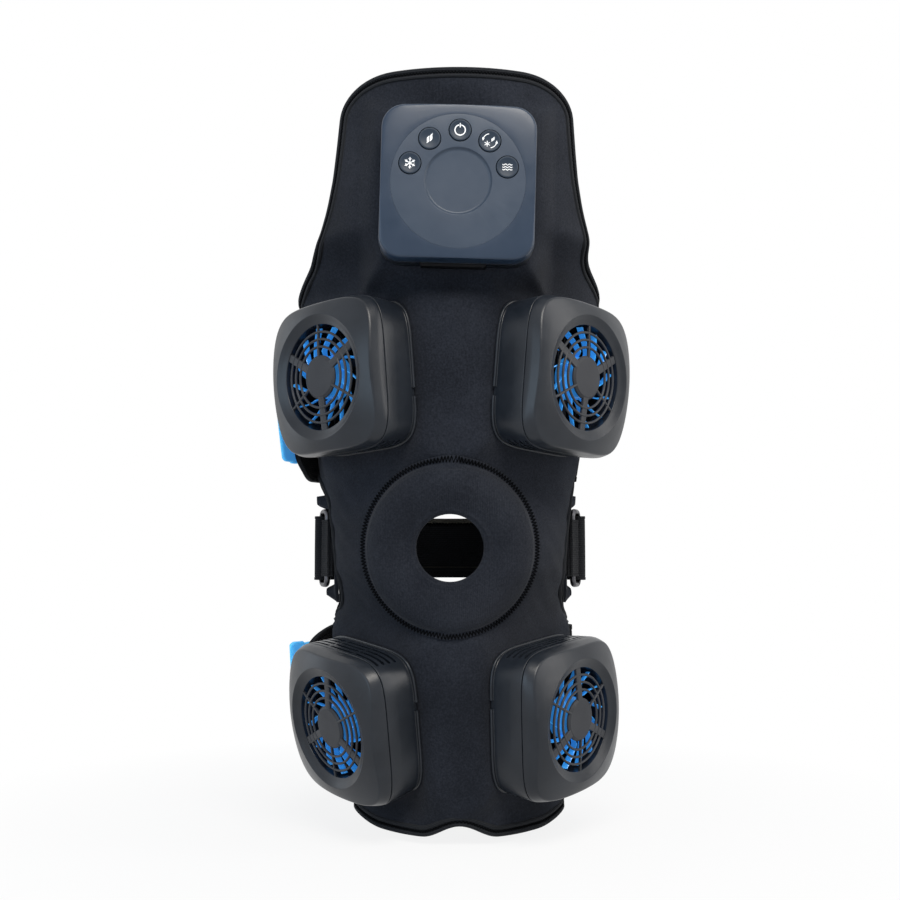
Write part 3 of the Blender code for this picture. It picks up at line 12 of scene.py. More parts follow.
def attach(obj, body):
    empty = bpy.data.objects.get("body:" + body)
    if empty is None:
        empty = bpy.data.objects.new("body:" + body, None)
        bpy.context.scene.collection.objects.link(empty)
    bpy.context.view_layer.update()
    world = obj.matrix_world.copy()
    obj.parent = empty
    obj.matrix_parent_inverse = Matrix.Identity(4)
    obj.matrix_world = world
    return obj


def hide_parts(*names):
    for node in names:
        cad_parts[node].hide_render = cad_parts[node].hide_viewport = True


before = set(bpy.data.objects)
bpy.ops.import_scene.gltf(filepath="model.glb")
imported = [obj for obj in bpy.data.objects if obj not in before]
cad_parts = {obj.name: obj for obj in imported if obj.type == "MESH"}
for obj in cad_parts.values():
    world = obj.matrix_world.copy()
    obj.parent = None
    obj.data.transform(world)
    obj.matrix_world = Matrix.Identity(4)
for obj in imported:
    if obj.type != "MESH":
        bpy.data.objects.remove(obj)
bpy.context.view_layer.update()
WORN = "worn_wrap"
MM = 0.001

# The camera that the photograph was taken with
CAMERA_DISTANCE = 0.728
CAMERA_LENS = 48
CAMERA_SENSOR = 36
CAMERA_CLIP_START = 0.01
HORIZON_DROP_PIXELS = 98
FOCAL_LENGTH_PIXELS = 1200
CAMERA_PITCH = degrees(atan(HORIZON_DROP_PIXELS / FOCAL_LENGTH_PIXELS))

# The leg that the wrap is shaped on, as in the part's source
TOP_HEIGHT = 0.265
CONTROL_HEIGHT = 0.1948
WING_HEIGHT = 0.150
THIGH_SEAT_HEIGHT = 0.0947
CALF_SEAT_HEIGHT = -0.0939
BOTTOM_HEIGHT = -0.162
KNEE_RADIUS = 0.070
KNEE_BEND_LENGTH = 0.040
THIGH_SIDE_LEAN = 1.15
THIGH_BACK_LEAN = 1.1
CALF_SIDE_LEAN = -2.4
CALF_BACK_LEAN = 8.4
SECTION_POWER = 10
LEFT_WING_FLARE = 0.0055
WING_FLARE_LOW = 0.020
WING_FLARE_HIGH = 0.190
WING_FLARE_FADE = 0.022
WING_FLARE_ANGLES = ((78, 100), (125, 170))
WING_CORNER_FLARE = 0.0042
WING_CORNER_LOW = 0.146
WING_CORNER_HIGH = 0.182
WING_CORNER_FADE = 0.014
WING_CORNER_ANGLES = ((48, 66), (95, 125))
HALF_WIDTHS = (
    (BOTTOM_HEIGHT, 0.064), (CALF_SEAT_HEIGHT, 0.068), (0, KNEE_RADIUS), (THIGH_SEAT_HEIGHT, 0.083),
    (WING_HEIGHT, 0.0905), (CONTROL_HEIGHT, 0.090), (TOP_HEIGHT, 0.092),
)
FRONT_DEPTHS = (
    (BOTTOM_HEIGHT, 0.064), (CALF_SEAT_HEIGHT, 0.075), (0, KNEE_RADIUS), (THIGH_SEAT_HEIGHT, 0.090),
    (CONTROL_HEIGHT, 0.088), (TOP_HEIGHT, 0.087),
)

# The wrap
WRAP_THICKNESS = 0.0050
PATELLA_HOLE_RADIUS = 0.0195
PATELLA_HOLE_TURNS = 72
TOP_CORNER_DROP = 0.022
TOP_CORNER_START = 24.0
TOP_CORNER_SHARE = 0.77
HEM_SCALLOP_RISE = 0.0075
HEM_SCALLOP_ANGLE = 20.0
HEM_SIDE_RISE = 0.004
HEM_SIDE_ANGLES = (50, 90)
BOTTOM_CORNER_DROP = 0.014
BOTTOM_CORNER_START = 92.0
BOTTOM_CORNER_SHARE = 0.74
WING_ANGLE = 118.0
FRONT_ANGLE = 30.0
UPPER_EDGE_SHARES = (
    (0, 79.5), (0.05, 79.5), (0.10, 84), (0.145, 96), (0.185, 110), (0.265, 117), (0.45, 117),
    (0.535, 110), (0.585, 86), (0.635, 66), (0.70, 57.5), (0.77, 52.5), (0.86, 50), (1.0, 47.5),
)
LOWER_EDGE_SHARES = (
    (0, 79.5), (0.09, 80), (0.16, 85), (0.225, 98), (0.30, 112), (0.44, 120), (0.88, 120), (1.0, 114),
)
SLOPE_TURN_STEP = 0.6

# Places of the modules and the control box
SEAT_GAP = 0.0003
BASE_HALF = 0.0413
CONTROL_HALF = 0.0420
SEATS = {
    "upper_left": {"aside": -43.1, "faces": -43.3, "nods": -2.9, "rolls": 3.0, "flipped": False, "hand": 1},
    "upper_right": {"aside": 43.9, "faces": 46.9, "nods": -3.0, "rolls": -3.5, "flipped": False, "hand": -1},
    "lower_left": {"aside": -52.5, "faces": -50.7, "nods": -11.5, "rolls": -7.2, "flipped": True, "hand": -1},
    "lower_right": {"aside": 51.5, "faces": 50.2, "nods": -3.3, "rolls": 6.4, "flipped": True, "hand": 1},
}
THIGH_SEAT_RADIUS = 0.0731
CALF_SEAT_RADIUS = 0.0580
SEAT_PRESS_MARGIN = 0.006
SEAT_PRESS_FADE = 0.014
SEAT_REACH = 0.046
SEAT_REACH_FADE = 0.038
CONTROL_BACK_DISTANCE = 0.0820
CONTROL_ASIDE = 0.0042
CONTROL_TURN = 1.5
CONTROL_NOD = -2.0


def fade(value, start, end):
    """0 at start and 1 at end, with a smooth run between."""
    share = np.clip((np.asarray(value, float) - start) / (end - start), 0, 1)
    return share * share * (3 - 2 * share)


def curve_through(stations, at):
    """The smooth curve through (place, value) stations in rising order of place."""
    places = np.array([station[0] for station in stations], float)
    values = np.array([station[1] for station in stations], float)
    order = np.arange(len(places))
    before, after = np.maximum(order - 1, 0), np.minimum(order + 1, len(places) - 1)
    slopes = (values[after] - values[before]) / (places[after] - places[before])
    at = np.clip(np.asarray(at, float), places[0], places[-1])
    index = np.clip(np.searchsorted(places, at, side="right") - 1, 0, len(places) - 2)
    span = places[index + 1] - places[index]
    share = (at - places[index]) / span
    start, end = values[index], values[index + 1]
    bend = share * (1 - share) ** 2 * slopes[index] * span
    bend = bend + share * share * (share - 1) * slopes[index + 1] * span
    return start + (end - start) * share * share * (3 - 2 * share) + bend


def leg_axis(z):
    """The middle of the leg at a height, as (across, back)."""
    reach = np.hypot(z, KNEE_BEND_LENGTH) - KNEE_BEND_LENGTH
    above, below = (reach + z) / 2, (reach - z) / 2
    aside = above * tan(radians(THIGH_SIDE_LEAN)) - below * tan(radians(CALF_SIDE_LEAN))
    back = above * tan(radians(THIGH_BACK_LEAN)) + below * tan(radians(CALF_BACK_LEAN))
    return aside, back


def heading(angle):
    """The level direction at an angle from the front, towards +X."""
    return Vector((sin(radians(angle)), -cos(radians(angle)), 0))


def seat_matrix(name):
    """A module's frame: X across, Y up and Z outwards, with its origin on the cloth under its base."""
    seat = SEATS[name]
    low = name.startswith("lower")
    height = CALF_SEAT_HEIGHT if low else THIGH_SEAT_HEIGHT
    distance = CALF_SEAT_RADIUS if low else THIGH_SEAT_RADIUS
    aside, back = leg_axis(height)
    centre = Vector((aside, back, height)) + heading(seat["aside"]) * distance
    nod = Matrix.Rotation(pi / 2 - radians(seat["nods"]), 4, "X")
    roll = Matrix.Rotation(radians(seat["rolls"]) + (pi if seat["flipped"] else 0), 4, "Z")
    return Matrix.Translation(centre) @ (Matrix.Rotation(radians(seat["faces"]), 4, "Z") @ nod) @ roll


def control_matrix():
    """The control box's frame: X across, Y up and Z outwards, with its origin on its back."""
    centre = Vector((CONTROL_ASIDE, -CONTROL_BACK_DISTANCE, CONTROL_HEIGHT))
    nod = Matrix.Rotation(pi / 2 - radians(CONTROL_NOD), 4, "X")
    return Matrix.Translation(centre) @ (nod @ Matrix.Rotation(-radians(CONTROL_TURN), 4, "Z"))


SEAT_MATRICES = {name: seat_matrix(name) for name in SEATS}
CONTROL_MATRIX = control_matrix()
PRESSED_FLATS = [(np.array(m), np.array(m.inverted()), BASE_HALF) for m in SEAT_MATRICES.values()]
PRESSED_FLATS.append((np.array(CONTROL_MATRIX), np.array(CONTROL_MATRIX.inverted()), CONTROL_HALF))


def section_radius(angle, z):
    """The leg's radius with the wrap on it, drawn flatter towards each module near its height."""
    turn = np.radians(angle)
    side = curve_through(HALF_WIDTHS, z)
    front = np.where(np.cos(turn) > 0, curve_through(FRONT_DEPTHS, z), side)
    plain = np.hypot(side * np.sin(turn), front * np.cos(turn))
    total = plain ** -SECTION_POWER
    for name, seat in SEATS.items():
        low = name.startswith("lower")
        away = np.abs(z - (CALF_SEAT_HEIGHT if low else THIGH_SEAT_HEIGHT))
        weight = 1 - fade(away, SEAT_REACH, SEAT_REACH + SEAT_REACH_FADE)
        towards = np.cos(np.radians(angle - seat["aside"]))
        distance = CALF_SEAT_RADIUS if low else THIGH_SEAT_RADIUS
        flat = (distance / np.maximum(towards, SEAT_GAP)) ** -SECTION_POWER
        total = total + np.where(towards > 0, weight * flat, 0)
    return total ** (-1 / SECTION_POWER)


def carried(points, matrix):
    """The points moved by a 4 by 4 matrix."""
    return points @ matrix[:3, :3].T + matrix[:3, 3]


def rows_of(*values):
    """Each value as one flat row, all of the same length."""
    return (row.ravel() for row in np.broadcast_arrays(*(np.asarray(value, float) for value in values)))


def pressed(points):
    """The cloth's points after the flat bases have pushed them in or drawn them out to meet them."""
    for matrix, inverse, half in PRESSED_FLATS:
        local = carried(points, inverse)
        beyond = np.maximum(np.abs(local[:, 0]), np.abs(local[:, 1])) - half
        pushed = 1 - fade(beyond, SEAT_PRESS_MARGIN, SEAT_PRESS_MARGIN + SEAT_PRESS_FADE)
        drawn = 1 - fade(beyond, -SEAT_PRESS_MARGIN, SEAT_PRESS_FADE)
        hold = np.where(local[:, 2] > -SEAT_GAP, pushed, drawn) * (np.abs(local[:, 2]) <= half)
        local[:, 2] += hold * (-SEAT_GAP - local[:, 2])
        points = carried(local, matrix)
    return points


def between(value, low, high, run):
    """1 from low to high, and fading to 0 over a run inside each."""
    return fade(value, low, low + run) * (1 - fade(value, high - run, high))


def left_side(leftward, angles):
    """1 between two pairs of angles on the left side, fading over each pair."""
    (start, full), (leave, end) = angles
    return fade(leftward, start, full) * (1 - fade(leftward, leave, end)) * (leftward < 180)


def cloth(angle, z):
    """The wrap's outer face at angles from the front and heights, one point a row."""
    angle, z = rows_of(angle, z)
    aside, back = leg_axis(z)
    radius, turn = section_radius(angle, z), np.radians(angle)
    points = pressed(np.stack([aside + radius * np.sin(turn), back - radius * np.cos(turn), z], 1))
    leftward = np.mod(-angle, 360)
    wing = between(z, WING_FLARE_LOW, WING_FLARE_HIGH, WING_FLARE_FADE)
    points[:, 0] -= LEFT_WING_FLARE * wing * left_side(leftward, WING_FLARE_ANGLES)
    corner = between(z, WING_CORNER_LOW, WING_CORNER_HIGH, WING_CORNER_FADE)
    points[:, 0] -= WING_CORNER_FLARE * corner * left_side(leftward, WING_CORNER_ANGLES)
    return points


def cloth_normals(angle, z):
    """The outward normals of the cloth, from how its points move round the leg and up it."""
    turn_step, rise_step = SLOPE_TURN_STEP, WRAP_THICKNESS / 6
    across = (cloth(angle + turn_step, z) - cloth(angle - turn_step, z)) / (2 * turn_step)
    along_z = (cloth(angle, z + rise_step) - cloth(angle, z - rise_step)) / (2 * rise_step)
    return unit(np.cross(across, along_z))


def unit(vectors):
    """The vectors, each made 1 long."""
    return vectors / np.maximum(np.linalg.norm(vectors, axis=-1, keepdims=True), 1e-12)


def on_cloth(angle, z, lift=0.0):
    """Points at heights above the wrap's outer face."""
    angle, z = rows_of(angle, z)
    lift = np.broadcast_to(np.asarray(lift, float), angle.shape)
    return cloth(angle, z) + cloth_normals(angle, z) * lift[:, None]


def edge_angle(z):
    """How far round the leg the sheet reaches at a height."""
    upper = curve_through(UPPER_EDGE_SHARES, z / TOP_HEIGHT)
    return np.where(z >= 0, upper, curve_through(LOWER_EDGE_SHARES, z / BOTTOM_HEIGHT))


def sheet_place(column, z_row):
    """The angle and height of points of the sheet, with its corners and hem shaped."""
    column, z_row = np.broadcast_arrays(np.asarray(column, float), np.asarray(z_row, float))
    reach = edge_angle(z_row)
    angle = np.abs(column)
    stretched = FRONT_ANGLE + (angle - FRONT_ANGLE) * (reach - FRONT_ANGLE) / (WING_ANGLE - FRONT_ANGLE)
    angle = np.where(angle > FRONT_ANGLE, stretched, angle)
    upper_start = TOP_HEIGHT * TOP_CORNER_SHARE
    corner = np.clip((angle - TOP_CORNER_START) / (reach - TOP_CORNER_START), 0, 1)
    top = TOP_HEIGHT - TOP_CORNER_DROP * (1 - np.sqrt(1 - corner * corner))
    raised = upper_start + (z_row - upper_start) * (top - upper_start) / (TOP_HEIGHT - upper_start)
    lower_start = BOTTOM_HEIGHT * BOTTOM_CORNER_SHARE
    corner = np.clip((angle - BOTTOM_CORNER_START) / (reach - BOTTOM_CORNER_START), 0, 1)
    rise = HEM_SCALLOP_RISE * (1 - fade(angle, 0, HEM_SCALLOP_ANGLE))
    rise = rise + HEM_SIDE_RISE * fade(angle, *HEM_SIDE_ANGLES)
    rise = rise + BOTTOM_CORNER_DROP * (1 - np.sqrt(1 - corner * corner))
    lowered = z_row + rise * (z_row - lower_start) / (BOTTOM_HEIGHT - lower_start)
    z = np.where(z_row > upper_start, raised, np.where(z_row < lower_start, lowered, z_row))
    return np.where(column >= 0, angle, -angle), z


# Meshes

SHARP_ANGLE = 40.0


def grid_faces(rows, columns, closed_rows=False, closed_columns=False, start=0):
    """The quads between the points of a grid that is stored row by row."""
    row = np.arange(rows if closed_rows else rows - 1)[:, None]
    column = np.arange(columns if closed_columns else columns - 1)[None, :]
    low, high = row * columns, (row + 1) % rows * columns
    following = (column + 1) % columns
    corners = [low + column, low + following, high + following, high + column]
    return (np.stack(corners, -1).reshape(-1, 4) + start).tolist()


def tube_faces(rows, columns, closed=False):
    """The faces of rings stored one after another, with the ends capped or joined."""
    faces = grid_faces(rows, columns, closed_rows=closed, closed_columns=True)
    if not closed:
        faces += [list(range(columns)), list(range((rows - 1) * columns, rows * columns))]
    return faces


def border_of(rows, columns):
    """A grid's indices once round its border."""
    last_row, last = rows - 1, columns - 1
    places = [(0, j) for j in range(last)] + [(i, last) for i in range(last_row)]
    places += [(last_row, j) for j in range(last, 0, -1)] + [(i, 0) for i in range(last_row, 0, -1)]
    return [i * columns + j for i, j in places]


def sheet_faces(rows, columns):
    """The faces of two like grids stored one after the other, joined round their borders."""
    count, border = rows * columns, border_of(rows, columns)
    faces = grid_faces(rows, columns) + grid_faces(rows, columns, start=count)
    return faces + [[a, a + count, b + count, b] for a, b in zip(border, border[1:] + border[:1])]


def lengths_along(path):
    """The length of the path up to each of its points."""
    return np.concatenate([[0], np.cumsum(np.linalg.norm(np.diff(path, axis=0), axis=1))])


def grid_uv(down, across):
    """A grid's layout, from one value for each row and one for each column."""
    return np.stack(np.broadcast_arrays(down[:, None], across[None, :]), -1).reshape(-1, 2)


def mesh_of(name, points, faces, uv=None, sharp=SHARP_ANGLE):
    """A mesh whose faces point outwards, smooth except at edges sharper than an angle."""
    mesh = bpy.data.meshes.new(name)
    mesh.from_pydata(np.asarray(points, float).tolist(), [], faces)
    if uv is not None:
        corner = np.empty(len(mesh.loops), np.int32)
        mesh.loops.foreach_get("vertex_index", corner)
        mesh.uv_layers.new(name="UVMap").data.foreach_set("uv", np.asarray(uv, float)[corner].ravel())
    builder = bmesh.new()
    builder.from_mesh(mesh)
    bmesh.ops.recalc_face_normals(builder, faces=builder.faces)
    builder.to_mesh(mesh)
    builder.free()
    mesh.shade_smooth()
    if sharp:
        mesh.set_sharp_from_angle(angle=radians(sharp))
    return mesh


def placed(name, data, matrix=None):
    """An object of the scene with its data."""
    made = bpy.data.objects.new(name, data)
    bpy.context.scene.collection.objects.link(made)
    if matrix is not None:
        made.matrix_world = matrix
    return made


def piece(name, mesh, finish, body=WORN, nodes=(), matrix=None):
    """A visible piece of the scene: it rides on a body and may stand for CAD nodes."""
    made = placed(name, mesh, matrix)
    if not mesh.materials:
        mesh.materials.append(FINISHES[finish])
    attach(made, body)
    if nodes:
        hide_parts(*nodes)
    return made


def joined(parts):
    """One list of points and one of faces from several."""
    points, faces, count = [], [], 0
    for some_points, some_faces in parts:
        points.append(np.asarray(some_points, float).reshape(-1, 3))
        faces += [[index + count for index in face] for face in some_faces]
        count += len(points[-1])
    return np.concatenate(points), faces


def filleted(corners, steps=5):
    """A profile through (across, up, radius) corners, each rounded to its radius."""
    places = [Vector(corner[:2]) for corner in corners]
    profile = []
    for i, (place, corner) in enumerate(zip(places, corners)):
        if i in (0, len(places) - 1) or not corner[2]:
            profile.append(tuple(place))
            continue
        before, after = places[i - 1] - place, places[i + 1] - place
        half = before.angle(after) / 2
        reach = min(corner[2] / tan(half), 0.48 * before.length, 0.48 * after.length)
        before.normalize()
        after.normalize()
        centre = place + (before + after).normalized() * (reach / cos(half))
        start, end = place + before * reach - centre, place + after * reach - centre
        first = atan2(start.y, start.x)
        span = (atan2(end.y, end.x) - first + pi) % (2 * pi) - pi
        for step in range(steps + 1):
            turn = first + span * step / steps
            profile.append((centre.x + start.length * cos(turn), centre.y + start.length * sin(turn)))
    return profile


def turned(profile, points=64, closed=False):
    """Points and faces turned about Z from (radius, height) pairs; open ends are capped."""
    return around([profile] * points, closed)


def around(profiles, closed=False):
    """Points and faces round Z from one (radius, height) profile for each equal turn."""
    count, length = len(profiles), len(profiles[0])
    turn = 2 * np.pi * np.arange(count) / count
    shape = np.asarray(profiles, float)
    radius, height = shape[:, :, 0].T, shape[:, :, 1].T
    points = np.stack([radius * np.cos(turn), radius * np.sin(turn), height], -1).reshape(-1, 3)
    return points, tube_faces(length, count, closed)


def reach(turn, half, power):
    """How far a square with bowed sides and full corners reaches in a direction."""
    return half * (abs(cos(turn)) ** power + abs(sin(turn)) ** power) ** (-1 / power)


def tube(path, radius, sides=8, closed=False):
    """Points and faces of a round tube along a path."""
    path = np.asarray(path, float)
    if closed:
        run = np.roll(path, -1, 0) - np.roll(path, 1, 0)
    else:
        run = np.gradient(path, axis=0)
    run = unit(run)
    guide = np.array([0, 0, 1.0]) if np.abs(run[:, 2]).max() < 0.9 else np.array([0.3, 0.9, 0.2])
    side = unit(np.cross(run, guide))
    up = np.cross(side, run)
    turn = 2 * np.pi * np.arange(sides) / sides
    radius = np.broadcast_to(radius, len(path))[:, None, None]
    ring = side[:, None] * np.cos(turn)[None, :, None] + up[:, None] * np.sin(turn)[None, :, None]
    return (path[:, None] + ring * radius).reshape(-1, 3), tube_faces(len(path), sides, closed)


def stitches(starts, ends, normals, radius, rise=0.0):
    """Points and faces of short stitches, each a tapered thread bowed off the cloth."""
    starts, ends, normals = (np.asarray(values, float) for values in (starts, ends, normals))
    run, sides = ends - starts, 6
    side = unit(np.cross(run, normals))
    up = unit(np.cross(side, run))
    turn = 2 * np.pi * np.arange(sides) / sides
    rings = []
    for share, width in ((0, 0.45), (0.22, 1.0), (0.78, 1.0), (1, 0.45)):
        centre = starts + run * share + up * (rise if 0 < share < 1 else 0)
        ring = side[:, None] * np.cos(turn)[None, :, None] + up[:, None] * np.sin(turn)[None, :, None]
        rings.append(centre[:, None] + ring * radius * width)
    points = np.stack(rings, 1)
    count, rows = len(starts), points.shape[1]
    one = tube_faces(rows, sides)
    faces = [[index + k * rows * sides for index in face] for k in range(count) for face in one]
    return points.reshape(-1, 3), faces


def along(path, step):
    """Equal steps of length along a path, and the length at each of its own points."""
    run = lengths_along(np.asarray(path, float))
    count = max(int(round(run[-1] / step)), 2)
    at = np.linspace(0, run[-1], count + 1)
    return at, run


def resampled(values, run, at):
    """Each column of values, known at lengths run, at other lengths."""
    return np.stack([np.interp(at, run, column) for column in np.asarray(values, float).T], 1)


def cut(target, tool_points, tool_faces):
    """Cuts a closed form out of a piece's mesh, exactly."""
    tool = placed("tool", mesh_of("tool", tool_points, tool_faces, sharp=None), target.matrix_world)
    change = target.modifiers.new("cut", "BOOLEAN")
    change.operation, change.solver, change.object = "DIFFERENCE", "EXACT", tool
    graph = bpy.context.evaluated_depsgraph_get()
    graph.update()
    done = bpy.data.meshes.new_from_object(target.evaluated_get(graph))
    target.modifiers.clear()
    target.data = done
    bpy.data.objects.remove(tool)
    done.shade_smooth()
    done.set_sharp_from_angle(angle=radians(SHARP_ANGLE))
    return done


# Materials


class Recipe:
    """A procedural material, with short calls that add and join its nodes."""

    def __init__(self, name, colour, roughness, metallic=0.0, **sockets):
        self.material = bpy.data.materials.new(name)
        self.material.use_nodes = True
        self.tree = self.material.node_tree
        self.shader = self.tree.nodes["Principled BSDF"]
        self.set("Base Color", (*colour, 1))
        self.set("Roughness", roughness)
        self.set("Metallic", metallic)
        self.material.diffuse_color = (*colour, 1)
        for socket, value in sockets.items():
            self.set(socket.replace("_", " "), value)

    def set(self, socket, value):
        if isinstance(value, bpy.types.NodeSocket):
            self.tree.links.new(value, self.shader.inputs[socket])
        else:
            self.shader.inputs[socket].default_value = value

    def add(self, kind, *inputs, **settings):
        """A node with its first inputs set or joined, and its first output."""
        node = self.tree.nodes.new("ShaderNode" + kind)
        for setting, value in settings.items():
            setattr(node, setting, value)
        for socket, value in zip(node.inputs, inputs):
            if isinstance(value, bpy.types.NodeSocket):
                self.tree.links.new(value, socket)
            elif value is not None:
                socket.default_value = value
        return node.outputs[0]

    def sum(self, operation, *inputs):
        return self.add("Math", *inputs, operation=operation)

    def object_place(self):
        return self.tree.nodes.new("ShaderNodeTexCoord").outputs["Object"]

    def cloth_place(self):
        """Metres across and metres along the cloth, from the piece's own layout."""
        place = self.tree.nodes.new("ShaderNodeTexCoord").outputs["UV"]
        split = self.tree.nodes.new("ShaderNodeSeparateXYZ")
        self.tree.links.new(place, split.inputs[0])
        return split.outputs[0], split.outputs[1]

    def noise(self, place, scale, detail=2.0, roughness=0.5):
        node = self.tree.nodes.new("ShaderNodeTexNoise")
        self.tree.links.new(place, node.inputs["Vector"])
        node.inputs["Scale"].default_value = scale
        node.inputs["Detail"].default_value = detail
        node.inputs["Roughness"].default_value = roughness
        return node.outputs["Fac"]

    def spread(self, value, low, high, start=0.0, end=1.0):
        """The value's run from start to end, spread from low to high."""
        return self.add("MapRange", value, start, end, low, high)

    def blend(self, share, first, second):
        """One colour passing into another as the share grows."""
        node = self.tree.nodes.new("ShaderNodeMix")
        node.data_type = "RGBA"
        for socket, value in zip((node.inputs[0], node.inputs[6], node.inputs[7]), (share, first, second)):
            if isinstance(value, bpy.types.NodeSocket):
                self.tree.links.new(value, socket)
            elif isinstance(value, float):
                socket.default_value = value
            else:
                socket.default_value = (*value, 1)
        return node.outputs[2]

    def bump(self, height, distance, after=None):
        node = self.tree.nodes.new("ShaderNodeBump")
        node.inputs["Distance"].default_value = distance
        self.tree.links.new(height, node.inputs["Height"])
        if after is not None:
            self.tree.links.new(after, node.inputs["Normal"])
        self.tree.links.new(node.outputs[0], self.shader.inputs["Normal"])
        return node.outputs[0]

    def edge_wear(self, low=0.505, high=0.56):
        """A share that grows towards the mesh's outer edges."""
        point = self.tree.nodes.new("ShaderNodeNewGeometry").outputs["Pointiness"]
        return self.spread(point, 0.0, 1.0, low, high)


def knitted(name, colour, light, pitch=0.0008):
    """A fine knitted face: columns of V-shaped loops, with soft changes of tone and lint."""
    recipe = Recipe(name, colour, 0.92, Specular_IOR_Level=0.05, Sheen_Weight=0.05, Sheen_Roughness=0.5)
    across, up = recipe.cloth_place()
    column = recipe.sum("DIVIDE", across, pitch)
    side = recipe.sum("ABSOLUTE", recipe.sum("SUBTRACT", recipe.sum("FRACT", column), 0.5))
    leaning = recipe.sum("MULTIPLY_ADD", side, 1.3, recipe.sum("DIVIDE", up, pitch * 0.8))
    loops = recipe.sum("SINE", recipe.sum("MULTIPLY", leaning, 2 * pi))
    valley = recipe.sum("MULTIPLY", recipe.sum("MULTIPLY", side, side), -5.0)
    yarn = recipe.sum("ADD", valley, recipe.sum("MULTIPLY", loops, 0.45))
    place = recipe.object_place()
    broad = recipe.noise(place, 26.0, 3.0)
    fine = recipe.noise(place, 900.0, 4.0, 0.7)
    tone = recipe.sum("MULTIPLY_ADD", yarn, 0.14, recipe.spread(broad, -0.15, 0.85))
    tone = recipe.sum("MULTIPLY_ADD", recipe.sum("SUBTRACT", fine, 0.5), 1.9, tone)
    recipe.set("Base Color", recipe.blend(recipe.sum("MAXIMUM", tone, 0.0), colour, light))
    recipe.set("Roughness", recipe.spread(fine, 0.80, 1.0))
    recipe.bump(fine, 0.00010, recipe.bump(yarn, 0.00007))
    return recipe.material


def woven(name, colour, light, pitch=0.0013):
    """Webbing woven in ribs along its length, with the weft's small steps across them."""
    recipe = Recipe(name, colour, 0.75, Specular_IOR_Level=0.06, Sheen_Weight=0.03)
    run, across = recipe.cloth_place()
    rib = recipe.sum("DIVIDE", across, pitch)
    crown = recipe.sum("ABSOLUTE", recipe.sum("SINE", recipe.sum("MULTIPLY", rib, pi)))
    odd = recipe.sum("MULTIPLY", recipe.sum("FLOOR", rib), pi)
    weft = recipe.sum("SINE", recipe.sum("MULTIPLY_ADD", run, 2 * pi / (pitch * 0.7), odd))
    height = recipe.sum("MULTIPLY_ADD", weft, 0.30, crown)
    place = recipe.object_place()
    fluff = recipe.noise(place, 1400.0, 3.0, 0.7)
    tone = recipe.sum("MULTIPLY", height, recipe.spread(fluff, 0.3, 1.1))
    recipe.set("Base Color", recipe.blend(tone, colour, light))
    recipe.set("Roughness", recipe.spread(fluff, 0.62, 0.9))
    recipe.bump(fluff, 0.00006, recipe.bump(height, 0.00018))
    return recipe.material


def thread(name, colour, light):
    """Twisted sewing thread."""
    recipe = Recipe(name, colour, 0.9, Specular_IOR_Level=0.02)
    place = recipe.object_place()
    twist = recipe.noise(place, 2600.0, 2.0)
    recipe.set("Base Color", recipe.blend(twist, colour, light))
    recipe.bump(twist, 0.00008)
    return recipe.material


def moulded(name, colour, light, roughness, grain=0.000018, wear=0.35, **sockets):
    """Satin moulded plastic: spark-eroded grain, slow changes of tone and rubbed edges."""
    recipe = Recipe(name, colour, roughness, **{"Specular_IOR_Level": 0.22, **sockets})
    place = recipe.object_place()
    pebbles = recipe.noise(place, 2400.0, 2.0, 0.6)
    slow = recipe.noise(place, 38.0, 3.0)
    rubs = recipe.noise(place, 150.0, 5.0, 0.7)
    tone = recipe.spread(slow, -0.1, 0.5, 0.3, 0.7)
    edges = recipe.sum("MULTIPLY", recipe.edge_wear(), wear)
    worn = recipe.sum("MULTIPLY", edges, recipe.spread(rubs, 0.3, 1.2))
    recipe.set("Base Color", recipe.blend(recipe.sum("ADD", tone, worn), colour, light))
    matt = recipe.spread(rubs, roughness * 0.86, roughness * 1.14, 0.3, 0.7)
    recipe.set("Roughness", recipe.sum("MULTIPLY_ADD", worn, -0.10, matt))
    recipe.bump(pebbles, grain)
    return recipe.material


def brushed(name, colour, dark, roughness, stretch=(30.0, 30.0, 1500.0)):
    """Metal with fine drawn lines and faint stains."""
    recipe = Recipe(name, colour, roughness, 1.0)
    place = recipe.add("Mapping", recipe.object_place(), (0, 0, 0), (0, 0, 0), stretch)
    lines = recipe.noise(place, 1.0, 3.0, 0.65)
    stain = recipe.noise(recipe.object_place(), 120.0, 3.0)
    share = recipe.sum("MULTIPLY", lines, recipe.spread(stain, 0.4, 1.2))
    recipe.set("Base Color", recipe.blend(share, colour, dark))
    recipe.set("Roughness", recipe.spread(lines, roughness * 0.8, roughness * 1.3))
    recipe.bump(lines, 0.00002)
    return recipe.material


def circuit(name, colour, light):
    """Green solder resist with the raised lines of the tracks under it."""
    recipe = Recipe(name, colour, 0.35, Coat_Weight=0.3)
    cells = recipe.tree.nodes.new("ShaderNodeTexVoronoi")
    cells.distance = "MANHATTAN"
    recipe.tree.links.new(recipe.object_place(), cells.inputs["Vector"])
    cells.inputs["Scale"].default_value = 420.0
    tracks = recipe.spread(cells.outputs["Distance"], 0.0, 1.0, 0.35, 0.4)
    recipe.set("Base Color", recipe.blend(tracks, colour, light))
    recipe.bump(tracks, 0.00004)
    return recipe.material


def printed(name, colour):
    """Opaque white ink, a little uneven where it was laid on the moulding."""
    recipe = Recipe(name, colour, 0.5, Emission_Strength=0.0)
    patchy = recipe.noise(recipe.object_place(), 1800.0, 2.0)
    recipe.set("Base Color", recipe.blend(patchy, tuple(share * 0.92 for share in colour), colour))
    recipe.set("Roughness", recipe.spread(patchy, 0.42, 0.6))
    recipe.bump(patchy, 0.00001)
    return recipe.material


